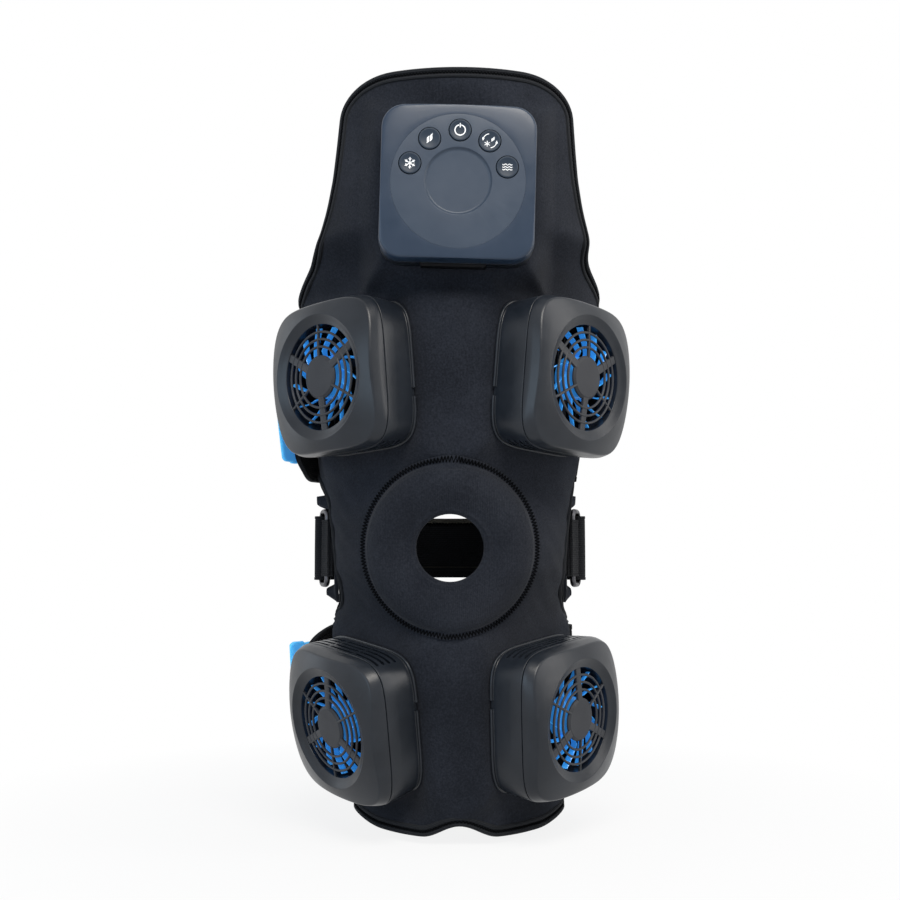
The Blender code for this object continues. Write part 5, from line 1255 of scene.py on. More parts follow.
def make_pull_tab(name, height, leave, end):
    """A moulded tab on the outside of a strap's free end, bent out for the fingers."""
    radius = float(curve_through(HALF_WIDTHS, height)) / cos(radians(end - leave)) ** 2
    bend = radians(TAB_BEND)
    surface = STRAP_LIFT + STRAP_THICKNESS + 3 * SEAT_GAP
    overlap = np.linspace(-TAB_OVERLAP, 0, 12)
    reach_out = np.linspace(0, TAB_REACH, 16)[1:]
    distance = np.concatenate([overlap, reach_out])
    from_middle = np.abs(distance - (TAB_REACH - TAB_OVERLAP) / 2)
    past = np.clip((from_middle - (TAB_REACH + TAB_OVERLAP) / 2 + TAB_CORNER) / TAB_CORNER, 0, 1)
    half = TAB_HALF_HEIGHT - TAB_CORNER * (1 - np.sqrt(np.clip(1 - past * past, 0, 1)))
    share = np.sin(np.linspace(-pi / 2, pi / 2, TAB_SHARE_COUNT))
    z = height + half[:, None] * share
    rim = np.minimum(TAB_HALF_HEIGHT * (1 - np.abs(share))[None, :], (TAB_REACH - distance)[:, None])
    rim = np.minimum(rim, (distance + TAB_OVERLAP)[:, None])
    inside = np.clip(rim / (TAB_THICKNESS / 2), 0, 1)
    crown = TAB_THICKNESS / 2 * np.sqrt(np.clip(1 - (1 - inside) ** 2, 0, 1))
    lip = TAB_LIP_RISE * (1 - fade(rim, *TAB_LIP_REACHES))
    first = len(overlap)
    angle = end + np.degrees(np.minimum(distance, 0) / radius)

    def hinge_rows(rows, lift):
        """Rows of points over the strap, at a height above it."""
        return strap_points(angle[rows, None], z[rows], leave, lift).reshape(-1, len(share), 3)

    below = hinge_rows(slice(first - 2, first), surface)
    above = hinge_rows([first - 1], surface + TAB_THICKNESS)
    run, out = unit(below[1] - below[0]), unit(above[0] - below[1])
    layers = []
    for way in (1, -1):
        lift = surface + TAB_THICKNESS / 2 + way * np.maximum(crown, SEAT_GAP / 3) + (lip if way > 0 else 0)
        grid = hinge_rows(slice(None), lift)
        for i in range(first, len(distance)):
            step = run * (distance[i] * cos(bend)) + out * (distance[i] * sin(bend))
            grid[i] = below[1] + step + out * (lift[i] - surface)[:, None]
            grid[i, :, 2] = z[i]
        layers.append(grid.reshape(-1, 3))
    faces = sheet_faces(len(distance), len(share))
    mesh = mesh_of(f"{name}_tab", np.concatenate(layers), faces)
    piece(f"{name}_tab", mesh, "tab_blue", nodes=[f"{name}_pull_tab"])


# Fan modules, measured from the middle of the base: across, and outwards from the leg

MODULE_POWER = 5.1
MODULE_TURNS = 144
BASE_RIM_HEIGHT = 0.0015
WAIST_HALF = 0.0399
WAIST_HEIGHT = 0.0024
SEAM_HALF = 0.0422
SEAM_HEIGHT = 0.0224
SEAM_GROOVE = 0.0004
HOUSING_WALL = 0.0020
FLOOR_HEIGHT = 0.0044
WINDOW_HALF = 0.0206
WINDOW_POWER = 12
VENT_ROWS = 4
VENT_FIRST_HEIGHT = 0.0074
VENT_PITCH = 0.0040
VENT_SLOT_HEIGHT = 0.0018
VENT_HALF_LENGTH = 0.0335
VENT_RIB_OFFSET = 0.0115
VENT_RIB_WIDTH = 0.0014
NOTCH_OFFSET = -0.0125
NOTCH_WIDTH = 0.0050
NOTCH_DEPTH = 0.0016
CUT_OVERRUN = 0.004
OPENING_RADIUS = 0.0290
OPENING_HEIGHT = 0.0320
DISH_RADIUS = 0.0344
DISH_HEIGHT = 0.0345
CROWN_SLOPE = 0.35
COVER_WALL = 0.0020
SKIRT_WALL = 0.0018
SKIRT_BOTTOM = 0.0210
COVER_DRAFT = 0.0014
COVER_POWER = 4.6
COVER_EDGE_ROUND = 0.0021
DISH_BOW_SHARE = 0.45
DISH_BOW = 0.0002
CONE_BOW = 0.00015
WALL_BOW = 0.0005
HUB_CAP_RADIUS = 0.01205
HUB_CAP_FLAT = 0.0106
HUB_CAP_HEIGHT = 0.0330
HUB_CAP_DISH = 0.0003
HUB_CAP_DROP = 0.0009
AXIS_RADIUS = 0.0006
GRILLE_TURNS = 96
BAR_ROUND = 0.0005
NARROW_BAR_SINK = 0.0001
GRILLE_THICKNESS = 0.0018
GRILLE_WIRE_RADIUS = 0.00072
GRILLE_RING_SHARES = (0.575, 0.717, 0.858)
SPOKE_WIDTH = 0.0045
SPOKE_SINK = 0.0003
SPOKE_PAIRS = 3
IMPELLER_HUB_RADIUS = 0.0120
IMPELLER_HUB_TOP = 0.0268
IMPELLER_HUB_BOTTOM = 0.0190
IMPELLER_SHARP_ANGLE = 50
SHAFT_RADIUS = 0.0015
SHAFT_BOTTOM = 0.0182
HUB_HOLLOW_RADIUS = 0.0107
HUB_HOLLOW_DEPTH = 0.0064
HUB_ROUND = 0.0014
HUB_TURNS = 78
BLADE_COUNT = 13
BLADE_TIP_RADIUS = 0.0280
BLADE_TOP = 0.0290
BLADE_BOTTOM = 0.0257
BLADE_THICKNESS = 0.0010
BLADE_ROOT_SINK = 0.0006
BLADE_ROOT_DROP = 0.0020
BLADE_ROOT_ANGLE = 10.0
BLADE_TIP_ANGLE = 24.0
BLADE_SWEEP = 30.0
BLADE_CAMBER_SHARE = 0.22


def profiles_round(corners, turns, reach_of):
    """For each turn, the rounded profile of (half width, shape, height, rounding) corners."""
    profiles = []
    for i in range(turns):
        turn = 2 * pi * i / turns
        sides = [(reach_of(turn, half, shape), height, rounding) for half, shape, height, rounding in corners]
        profiles.append(filleted(sides))
    return profiles


def slot_prism(left, right, low, high, height):
    """A long slot's cutter, round at both ends, along Y."""
    radius = VENT_SLOT_HEIGHT / 2
    outline = []
    for middle, start in ((right - radius, -90), (left + radius, 90)):
        for step in range(9):
            turn = radians(start + 180 * step / 8)
            outline.append((middle + radius * cos(turn), height + radius * sin(turn)))
    points = [(x, y, z) for y in (low, high) for x, z in outline]
    count = len(outline)
    faces = [list(range(count)), list(range(count, 2 * count))]
    faces += [[i, (i + 1) % count, count + (i + 1) % count, count + i] for i in range(count)]
    return points, faces


def block(low, high):
    """The points and faces of an upright block."""
    points = [(x, y, z) for z in (low[2], high[2]) for x, y in
              ((low[0], low[1]), (high[0], low[1]), (high[0], high[1]), (low[0], high[1]))]
    return points, [[0, 1, 2, 3], [4, 5, 6, 7], [0, 1, 5, 4], [1, 2, 6, 5], [2, 3, 7, 6], [3, 0, 4, 7]]


def housing_mesh(hand):
    """The body: a rimmed base, a fine groove over it, a soft shoulder, drafted walls and vents."""
    power, wall, window = MODULE_POWER, HOUSING_WALL, WINDOW_HALF + SEAT_GAP
    corners = [
        (window, WINDOW_POWER, FLOOR_HEIGHT, 0), (window, WINDOW_POWER, SEAT_GAP, 0),
        (BASE_HALF, power, SEAT_GAP, 0.0003), (BASE_HALF, power, BASE_RIM_HEIGHT, 0.0006),
        (WAIST_HALF + 0.0004, power, BASE_RIM_HEIGHT + 0.0003, 0.0002),
        (WAIST_HALF, power, WAIST_HEIGHT, 0.0003),
        (WAIST_HALF + 0.0010, power, WAIST_HEIGHT + 0.0004, 0.0007),
        (BASE_HALF - 0.0002, power, WAIST_HEIGHT + 0.0024, 0.0030),
        (SEAM_HALF - 0.0004, power, SEAM_HEIGHT - 0.0080, 0.0200), (SEAM_HALF, power, SEAM_HEIGHT, 0.0004),
        (SEAM_HALF - wall, power, SEAM_HEIGHT, 0.0003), (WAIST_HALF - wall, power, FLOOR_HEIGHT, 0.0010),
    ]
    name = f"housing_{'right' if hand > 0 else 'left'}_handed"
    profiles = profiles_round(corners, MODULE_TURNS, reach)
    form = placed(name, mesh_of(name, *around(profiles, closed=True)))
    rib = VENT_RIB_WIDTH / 2
    ribs = [middle + side for middle in (-VENT_RIB_OFFSET, VENT_RIB_OFFSET) for side in (-rib, rib)]
    edges = [-VENT_HALF_LENGTH, *ribs, VENT_HALF_LENGTH]
    near, far = SEAM_HALF / sqrt(2), SEAM_HALF + CUT_OVERRUN
    parts = []
    for row in range(VENT_ROWS):
        height = VENT_FIRST_HEIGHT + row * VENT_PITCH
        parts += [slot_prism(edges[i], edges[i + 1], -far, -near, height) for i in (0, 2, 4)]
        parts.append(slot_prism(edges[0], edges[5], near, far, height))
    low, high = BASE_HALF - NOTCH_DEPTH, BASE_HALF + CUT_OVERRUN
    near, far = (low, high) if hand > 0 else (-high, -low)
    rim, half = WAIST_HEIGHT + BASE_RIM_HEIGHT / 2, NOTCH_WIDTH / 2
    parts.append(block((near, NOTCH_OFFSET - half, -CUT_OVERRUN), (far, NOTCH_OFFSET + half, rim)))
    mesh = cut(form, *joined(parts))
    bpy.data.objects.remove(form)
    return mesh


def crown_height(radius):
    """The cone that the front of the cover is cut to."""
    return DISH_HEIGHT - CROWN_SLOPE * (radius - DISH_RADIUS)


def cover_mesh():
    """The cover: a skirt round the fan, the dish, the cone, a soft edge and bowed side walls."""
    profiles = []
    top, seam = SEAM_HALF - COVER_DRAFT, SEAM_HEIGHT + SEAM_GROOVE
    skirt, low_share = OPENING_RADIUS + SKIRT_WALL, 1 - DISH_BOW_SHARE
    dish = (OPENING_RADIUS * low_share + DISH_RADIUS * DISH_BOW_SHARE,
            OPENING_HEIGHT * low_share + DISH_HEIGHT * DISH_BOW_SHARE - DISH_BOW)
    for i in range(MODULE_TURNS):
        turn = 2 * pi * i / MODULE_TURNS

        def at(half, power=MODULE_POWER):
            return reach(turn, half, power)

        edge, inner = at(top, COVER_POWER), at(top - COVER_WALL, COVER_POWER)
        bowed = (at(SEAM_HALF) * 0.5 + edge * 0.5) + WALL_BOW
        cone = DISH_RADIUS + (edge - DISH_RADIUS) * 0.5
        corners = [
            (OPENING_RADIUS, SKIRT_BOTTOM, 0), (OPENING_RADIUS, OPENING_HEIGHT, 0.0005),
            (*dish, 0.02), (DISH_RADIUS, DISH_HEIGHT, 0.0007), (cone, crown_height(cone) + CONE_BOW, 0.05),
            (edge, crown_height(edge), COVER_EDGE_ROUND),
            (bowed, (crown_height(edge) + seam) / 2 - 0.001, 0.012), (at(SEAM_HALF), seam, 0.0004),
            (at(SEAM_HALF - COVER_WALL), seam, 0), (inner, crown_height(inner) - COVER_WALL, 0),
            (skirt, OPENING_HEIGHT - COVER_WALL, 0), (skirt, SKIRT_BOTTOM, 0),
        ]
        profiles.append(filleted(corners, 6))
    return mesh_of("fan_cover", *around(profiles, closed=True))


def grille_height(radius):
    """The height of the grille's face, from the hub cap out to the opening."""
    share = (radius - HUB_CAP_RADIUS) / (OPENING_RADIUS - HUB_CAP_RADIUS)
    return HUB_CAP_HEIGHT + (OPENING_HEIGHT - HUB_CAP_HEIGHT) * share


def bar(turn, half, top, thickness, rounding):
    """A radial bar with soft upper edges, from under the hub cap into the cover's wall."""
    corners = [(-half, -thickness, 0), (-half, 0, rounding), (half, 0, rounding), (half, -thickness, 0)]
    section, points = filleted(corners, 4), []
    radii = (HUB_CAP_FLAT, (HUB_CAP_FLAT + OPENING_RADIUS) / 2, OPENING_RADIUS + SEAT_GAP / 2)
    for radius in radii:
        for side, rise in section:
            x, y = radius * cos(turn) - side * sin(turn), radius * sin(turn) + side * cos(turn)
            points.append((x, y, grille_height(radius) + top + rise))
    return points, tube_faces(len(radii), len(section))


def grille_mesh():
    """Hub cap, three round wire rings, and wide and narrow bars by turns."""
    low, shoulder = HUB_CAP_HEIGHT - GRILLE_THICKNESS, HUB_CAP_HEIGHT - HUB_CAP_DROP
    cap = filleted([
        (AXIS_RADIUS, low, 0), (HUB_CAP_RADIUS, low, 0), (HUB_CAP_RADIUS, shoulder, 0.0003),
        (HUB_CAP_FLAT, HUB_CAP_HEIGHT, 0.0005), (AXIS_RADIUS, HUB_CAP_HEIGHT - HUB_CAP_DISH, 0),
    ], 4)
    parts = [turned(cap, GRILLE_TURNS)]
    turn = 2 * np.pi * np.arange(GRILLE_TURNS) / GRILLE_TURNS
    for share in GRILLE_RING_SHARES:
        radius = OPENING_RADIUS * share
        height = grille_height(radius) - GRILLE_WIRE_RADIUS
        ring = np.stack([radius * np.cos(turn), radius * np.sin(turn), np.full(GRILLE_TURNS, height)], 1)
        parts.append(tube(ring, GRILLE_WIRE_RADIUS, 12, closed=True))
    for i in range(2 * SPOKE_PAIRS):
        turn = pi / 6 + i * pi / SPOKE_PAIRS
        if i % 2:
            thickness = 2 * GRILLE_WIRE_RADIUS
            parts.append(bar(turn, GRILLE_WIRE_RADIUS * 0.9, -NARROW_BAR_SINK, thickness, BAR_ROUND))
        else:
            parts.append(bar(turn, SPOKE_WIDTH / 2, -SPOKE_SINK, GRILLE_THICKNESS - SPOKE_SINK, BAR_ROUND))
    return mesh_of("grille", *joined(parts))


def impeller_mesh(hand):
    """A capped hub and thirteen twisted, swept and cambered blades."""
    ceiling = IMPELLER_HUB_BOTTOM + HUB_HOLLOW_DEPTH
    hub = filleted([
        (SHAFT_RADIUS, SHAFT_BOTTOM, 0), (SHAFT_RADIUS, ceiling, 0), (HUB_HOLLOW_RADIUS, ceiling, 0),
        (HUB_HOLLOW_RADIUS, IMPELLER_HUB_BOTTOM, 0), (IMPELLER_HUB_RADIUS, IMPELLER_HUB_BOTTOM, 0.0003),
        (IMPELLER_HUB_RADIUS, IMPELLER_HUB_TOP, HUB_ROUND), (AXIS_RADIUS, IMPELLER_HUB_TOP, 0),
    ], 4)
    parts = [turned(hub, HUB_TURNS)]
    stations, chord = 11, 13
    root = IMPELLER_HUB_RADIUS - BLADE_ROOT_SINK
    radii = np.linspace(root, BLADE_TIP_RADIUS, stations)[:, None]
    share = np.linspace(0, 1, chord)[None, :]
    out = (radii - root) / (BLADE_TIP_RADIUS - root)
    lean = np.radians(BLADE_ROOT_ANGLE + (BLADE_TIP_ANGLE - BLADE_ROOT_ANGLE) * out)
    hub_low, hub_high = BLADE_BOTTOM - BLADE_ROOT_DROP, IMPELLER_HUB_TOP - HUB_ROUND
    near_hub = np.clip(1 - out * 6, 0, 1)
    low = BLADE_BOTTOM + near_hub * (hub_low - BLADE_BOTTOM)
    high = BLADE_TOP + near_hub * (hub_high - BLADE_TOP)
    half = (BLADE_TOP - BLADE_BOTTOM) * np.tan(lean) / 2
    bow = 4 * share * (1 - share) * BLADE_CAMBER_SHARE * half
    across = (2 * share - 1) * half + bow
    height = low + (high - low) * share - bow * 0.4
    thick = BLADE_THICKNESS / 2 * (0.35 + 0.65 * np.sqrt(np.clip(4 * share * (1 - share), 0, 1)))
    sweep = np.radians(BLADE_SWEEP) * (1 - out) ** 1.3
    for i in range(BLADE_COUNT):
        layers = []
        for way in (1, -1):
            moved = across + way * thick * np.cos(lean)
            raised = height - way * thick * np.sin(lean)
            turn = 2 * pi * (i + 0.5) / BLADE_COUNT + hand * (moved / radii + sweep)
            layers.append(np.stack([radii * np.cos(turn), radii * np.sin(turn), raised], -1))
        blade = np.concatenate([layers[0], layers[1][:, ::-1]], 1)
        parts.append((blade.reshape(-1, 3), tube_faces(stations, 2 * chord)))
    return mesh_of("impeller", *joined(parts), sharp=IMPELLER_SHARP_ANGLE)


def make_modules():
    cover, grille = cover_mesh(), grille_mesh()
    handed = {hand: (housing_mesh(hand), impeller_mesh(hand)) for hand in (1, -1)}
    for name, seat in SEATS.items():
        matrix = SEAT_MATRICES[name]
        housing, impeller = handed[seat["hand"]]
        piece(f"body_{name}", housing, "shell", matrix=matrix, nodes=[f"housing_{name}"])
        piece(f"cover_{name}", cover, "shell", matrix=matrix, nodes=[f"fan_cover_{name}"])
        piece(f"guard_{name}", grille, "grille", matrix=matrix, nodes=[f"grille_{name}"])
        piece(f"fan_{name}", impeller, "fan_blue", body=f"{name}_fan", matrix=matrix,
              nodes=[f"impeller_{name}"])


# Control box, measured from the middle of its back

CONTROL_CORNER = 0.0123
CONTROL_DEPTH = 0.0240
CONTROL_SPLIT = 0.0135
CONTROL_WALL = 0.0018
CONTROL_FLOOR = 0.0022
CONTROL_TURNS = 192
FACE_EDGE_ROUND = 0.0021
FACE_SLOPE = 0.045
FACE_BEND = 3.2
FACE_DRAFT = 0.0008
DIAL_RADIUS = 0.0360
DIAL_THICKNESS = 0.0024
DIAL_DISH_RADIUS = 0.0182
DIAL_DISH_DEPTH = 0.0013
FACE_SKIN = 0.0016
BUTTON_RADIUS = 0.0058
BUTTON_GAP = 0.0004
BUTTON_CIRCLE_RADIUS = 0.0272
BUTTON_STAND = 0.0006
BUTTON_FLANGE = 0.0012
BUTTON_FLANGE_THICKNESS = 0.0022
BUTTON_TURN = 1.0
BUTTON_RIM = 0.0009
BUTTON_HOLLOW = 0.0007
BUTTON_ANGLES = {"cool": 162, "heat": 126, "power": 90, "cycle": 54, "wave": 18}
PORT_COVER_WIDTH = 0.0355
PORT_COVER_LENGTH = 0.0105
PORT_COVER_THICKNESS = 0.0016
PORT_COVER_ASIDE = -0.0015
PORT_COVER_BACK = 0.0022
PORT_RECESS = 0.0008
PORT_SHARP_ANGLE = 50
SOCKET_WIDTH = 0.0090
SOCKET_HEIGHT = 0.0034
CONTROL_FOOT_ROUND = 0.0024
CONTROL_RIM_ROUND = 0.0003
DIAL_GAP = 0.00005
DIAL_EDGE_ROUND = 0.00004
DIAL_BACK_RADIUS = 0.004
DIAL_DISH_SLOPE = 0.0011
DIAL_CROWN = 0.0001
DIAL_TURNS = 160
BUTTON_TURNS = 72
BUTTON_HOLE_TURNS = 64
ICON_RISE = 0.00005
ICON_THICKNESS = 0.00012


def square_reach(turn, half, corner):
    """How far a square with round corners reaches in a direction."""
    along_side, across_side = sorted((abs(cos(turn)), abs(sin(turn))), reverse=True)
    if across_side / along_side * half <= half - corner:
        return half / along_side
    middle = (half - corner) * (along_side + across_side)
    return middle + sqrt(max(middle * middle - 2 * (half - corner) ** 2 + corner * corner, 0))


def face_height(radius):
    """The face's crown, which falls away from the dial's edge."""
    out = max(radius - DIAL_RADIUS, 0)
    return CONTROL_DEPTH - FACE_SLOPE * out - FACE_BEND * out * out


def make_control_back():
    """The lower shell: a tub with a soft foot, a recess for the port's cover and the socket's mouth."""
    half, corner, wall = CONTROL_HALF, CONTROL_CORNER, CONTROL_WALL
    inside, inner_corner = half - wall, corner - wall
    corners = [
        (half / 4, corner / 4, SEAT_GAP, 0), (half, corner, SEAT_GAP, CONTROL_FOOT_ROUND),
        (half, corner, CONTROL_SPLIT, CONTROL_RIM_ROUND), (inside, inner_corner, CONTROL_SPLIT, 0),
        (inside, inner_corner, CONTROL_FLOOR, 0), (half / 4, corner / 4, CONTROL_FLOOR, 0),
    ]
    mesh = mesh_of("box_back", *around(profiles_round(corners, CONTROL_TURNS, square_reach)))
    back = piece("box_back", mesh, "shell", matrix=CONTROL_MATRIX, nodes=["control_back"])
    low, high = PORT_COVER_BACK - SEAT_GAP, PORT_COVER_BACK + PORT_COVER_LENGTH + SEAT_GAP
    middle, rise = (low + high) / 2, SOCKET_HEIGHT / 2 + SEAT_GAP
    for width, bottom, top, depth in (
        (PORT_COVER_WIDTH, low, high, PORT_RECESS), (SOCKET_WIDTH, middle - rise, middle + rise, 2 * wall),
    ):
        left, right = PORT_COVER_ASIDE - (width / 2 + SEAT_GAP), PORT_COVER_ASIDE + (width / 2 + SEAT_GAP)
        cut(back, *block((left, -half - CUT_OVERRUN, bottom), (right, -half + depth, top)))


def button_places():
    """The buttons' names with the places of their middles."""
    for name, angle in BUTTON_ANGLES.items():
        turn = radians(angle - BUTTON_TURN)
        yield name, BUTTON_CIRCLE_RADIUS * cos(turn), BUTTON_CIRCLE_RADIUS * sin(turn)


def button_holes(low, high):
    """The cutters of the buttons' holes."""
    radius, parts = BUTTON_RADIUS + BUTTON_GAP, []
    for _, x, y in button_places():
        points, faces = turned([(radius, low), (radius, high)], BUTTON_HOLE_TURNS)
        parts.append((points + np.array([x, y, 0]), faces))
    return joined(parts)


def make_control_cover():
    """The upper shell: drafted walls, a soft edge, and a crowned face round the dial's pocket."""
    half, corner, wall = CONTROL_HALF, CONTROL_CORNER, CONTROL_WALL
    seam, pocket = CONTROL_SPLIT + SEAM_GROOVE, CONTROL_DEPTH - DIAL_THICKNESS - SEAT_GAP
    rim = DIAL_RADIUS + DIAL_GAP
    profiles = []
    for i in range(CONTROL_TURNS):
        turn = 2 * pi * i / CONTROL_TURNS
        edge, inside = square_reach(turn, half, corner), square_reach(turn, half - wall, corner - wall)
        stations = [rim + (edge - rim) * share for share in (0.25, 0.5, 0.72)]
        corners = [
            (rim / 3, pocket, 0), (rim, pocket, 0), (rim, CONTROL_DEPTH, DIAL_EDGE_ROUND),
            *((radius, face_height(radius), 0) for radius in stations),
            (edge - FACE_DRAFT, face_height(edge), FACE_EDGE_ROUND), (edge, seam, CONTROL_RIM_ROUND),
            (inside, seam, 0), (inside, pocket - FACE_SKIN, 0), (rim / 3, pocket - FACE_SKIN, 0),
        ]
        profiles.append(filleted(corners, 6))
    mesh = mesh_of("box_cover", *around(profiles))
    cover = piece("box_cover", mesh, "face", matrix=CONTROL_MATRIX, nodes=["control_cover"])
    cut(cover, *button_holes(pocket - FACE_SKIN - CUT_OVERRUN, CONTROL_DEPTH + CUT_OVERRUN))


def make_dial():
    """The round plate in the face, with its dish and the holes for the buttons."""
    low, high = CONTROL_DEPTH - DIAL_THICKNESS, CONTROL_DEPTH
    floor = high - DIAL_DISH_DEPTH
    profile = filleted([
        (DIAL_BACK_RADIUS, low, 0), (DIAL_RADIUS, low, 0), (DIAL_RADIUS, high, DIAL_EDGE_ROUND),
        (DIAL_DISH_RADIUS, high, 0.0004), (DIAL_DISH_RADIUS - DIAL_DISH_SLOPE, floor, 0.0016),
        (AXIS_RADIUS, floor + DIAL_CROWN, 0),
    ], 6)
    mesh = mesh_of("dial_face", *turned(profile, DIAL_TURNS))
    dial = piece("dial_face", mesh, "dial", matrix=CONTROL_MATRIX, nodes=["dial_plate"])
    cut(dial, *button_holes(low - CUT_OVERRUN, high + CUT_OVERRUN))


def button_surface(x, y):
    """The height of a button's hollowed top."""
    radius = np.hypot(x, y) / (BUTTON_RADIUS - BUTTON_RIM)
    return CONTROL_DEPTH + BUTTON_STAND - BUTTON_HOLLOW * (1 - np.clip(radius, 0, 1) ** 2)


def button_mesh():
    """A push button: its flange under the face, its edge and its hollowed top."""
    flange_top = CONTROL_DEPTH - DIAL_THICKNESS - 2 * SEAT_GAP - FACE_SKIN
    bottom, top = flange_top - BUTTON_FLANGE_THICKNESS, CONTROL_DEPTH + BUTTON_STAND
    flange, hollow = BUTTON_RADIUS + BUTTON_FLANGE, BUTTON_RADIUS - BUTTON_RIM
    profile = filleted([
        (0.001, bottom, 0), (flange, bottom, 0), (flange, flange_top, 0), (BUTTON_RADIUS, flange_top, 0),
        (BUTTON_RADIUS, top, 0.0005), (hollow, top, 0.0006),
    ], 5)
    for share in np.linspace(0.96, 0.04, 12):
        radius = share * hollow
        profile.append((radius, float(button_surface(radius, 0))))
    return mesh_of("button", *turned(profile, BUTTON_TURNS))


def inked(outlines):
    """Thin plates of ink on a button's hollow, from closed outlines given as strips of point pairs."""
    parts = []
    for left, right in outlines:
        rows, flat = len(left), np.concatenate([left, right])
        height = button_surface(flat[:, 0], flat[:, 1]) + ICON_RISE
        half = ICON_THICKNESS / 2
        points = np.concatenate([np.column_stack([flat, height + way * half]) for way in (-1, 1)])
        faces, total = [], 2 * rows
        for i in range(rows - 1):
            faces.append([i, i + 1, rows + i + 1, rows + i])
            faces.append([total + i, total + i + 1, total + rows + i + 1, total + rows + i])
            faces.append([i, i + 1, total + i + 1, total + i])
            faces.append([rows + i, rows + i + 1, total + rows + i + 1, total + rows + i])
        for i in (0, rows - 1):
            faces.append([i, rows + i, total + rows + i, total + i])
        parts.append((points, faces))
    return joined(parts)


def stroke(path, width):
    """A drawn line's left and right edges, with round ends."""
    path = np.asarray(path, float)
    run = unit(np.gradient(path, axis=0))
    side = np.stack([-run[:, 1], run[:, 0]], 1)
    width = np.broadcast_to(np.asarray(width, float), len(path))
    lefts, rights = [], []
    for end, way in ((0, -1), (-1, 1)):
        turn = np.radians(np.linspace(4, 90, 6))
        cap_side, cap_run = np.sin(turn)[:, None], np.cos(turn)[:, None]
        centre = path[end]
        half = width[end] / 2
        left = centre + half * (side[end] * cap_side + way * run[end] * cap_run)
        right = centre + half * (-side[end] * cap_side + way * run[end] * cap_run)
        lefts.append(left if way < 0 else left[::-1])
        rights.append(right if way < 0 else right[::-1])
    half = width[1:-1, None] / 2
    left = np.concatenate([lefts[0], path[1:-1] + side[1:-1] * half, lefts[1]])
    right = np.concatenate([rights[0], path[1:-1] - side[1:-1] * half, rights[1]])
    return left, right


def line(start, end, steps=6):
    """Points from one place to another."""
    share = np.linspace(0, 1, steps)[:, None]
    return np.asarray(start) * (1 - share) + np.asarray(end) * share


def arc(centre, radius, start, end, steps=40):
    """Points of a circle, from one angle to another."""
    turn = np.radians(np.linspace(start, end, steps))
    return np.stack([centre[0] + radius * np.cos(turn), centre[1] + radius * np.sin(turn)], 1)


def pointing(turn):
    """The unit vector of a mark's drawing at an angle."""
    return np.array([cos(turn), sin(turn)])


def snowflake(centre, size, width, branch):
    """Six arms from the middle, each with a forked tip where the branch's share isn't 0."""
    centre, strips = np.asarray(centre), []
    for arm in range(6):
        turn = radians(90 + 60 * arm)
        out = pointing(turn)
        strips.append(stroke(line(centre + out * width * 0.3, centre + out * size), width))
        root = centre + out * size * 0.58
        for lean in (-48, 48) if branch else ():
            fork = pointing(turn + radians(lean))
            strips.append(stroke(line(root, root + fork * size * branch), width * 0.8))
    return strips


def flame(centre, height, width):
    """Two wavy slashes side by side, thick in the middle and pointed at the ends."""
    strips = []
    share = np.linspace(0, 1, 28)
    for aside, rise, tall in ((-0.19, -0.09, 0.62), (0.19, 0.09, 0.66)):
        x = centre[0] + width * (aside + 0.36 * (share - 0.5) + 0.07 * np.sin(2 * np.pi * share))
        y = centre[1] + height * (rise + tall * (share - 0.5))
        swell = width * (0.02 + 0.29 * np.sin(np.pi * share) ** 1.1)
        strips.append(stroke(np.stack([x, y], 1), swell))
    return strips


def waves(centre, length, pitch, width):
    """Three wavy lines, one over the other."""
    strips = []
    share = np.linspace(-1, 1, 40)
    for row in (-1, 0, 1):
        y = centre[1] + row * pitch - 0.22 * pitch * np.cos(share * 2 * np.pi * 1.25)
        strips.append(stroke(np.stack([centre[0] + share * length / 2, y], 1), width))
    return strips


def cycle(width):
    """Two arcs chasing each other round a small snowflake and a small flame."""
    radius, strips, share = 3.75 * MM, [], np.linspace(0, 1, 8)
    for start, end in ((100, 168), (-80, -8)):
        strips.append(stroke(arc((0, 0), radius, start, end), width))
        point, root = pointing(radians(end + 12)) * radius, pointing(radians(end - 8)) * radius
        strips.append(stroke(root + (point - root) * share[:, None], 1.15 * MM * (1.02 - share)))
    strips += snowflake((-1.35 * MM, -1.55 * MM), 1.45 * MM, 0.34 * MM, 0)
    return strips + flame((1.65 * MM, 0.95 * MM), 3.3 * MM, 2.3 * MM)


def icons():
    """The white strokes of each button's mark."""
    return {
        "cool": snowflake((0, 0), 2.9 * MM, 0.44 * MM, 0.30),
        "heat": flame((0, 0), 6.6 * MM, 4.3 * MM),
        "power": [stroke(arc((0, 0), 2.75 * MM, 106, 434, 90), 0.58 * MM),
                  stroke(line((0, 1.65 * MM), (0, 3.45 * MM)), 0.56 * MM)],
        "cycle": cycle(0.42 * MM),
        "wave": waves((0, 0), 5.0 * MM, 1.35 * MM, 0.36 * MM),
    }


def make_buttons():
    """The five buttons, each with its mark."""
    mesh, marks = button_mesh(), icons()
    for name, x, y in button_places():
        matrix = CONTROL_MATRIX @ Matrix.Translation((x, y, 0))
        piece(f"key_{name}", mesh, "button", body=f"{name}_button", matrix=matrix,
              nodes=[f"button_{name}"])
        mark = mesh_of(f"mark_{name}", *inked(marks[name]), sharp=30)
        piece(f"mark_{name}", mark, "ink", body=f"{name}_button", matrix=matrix)


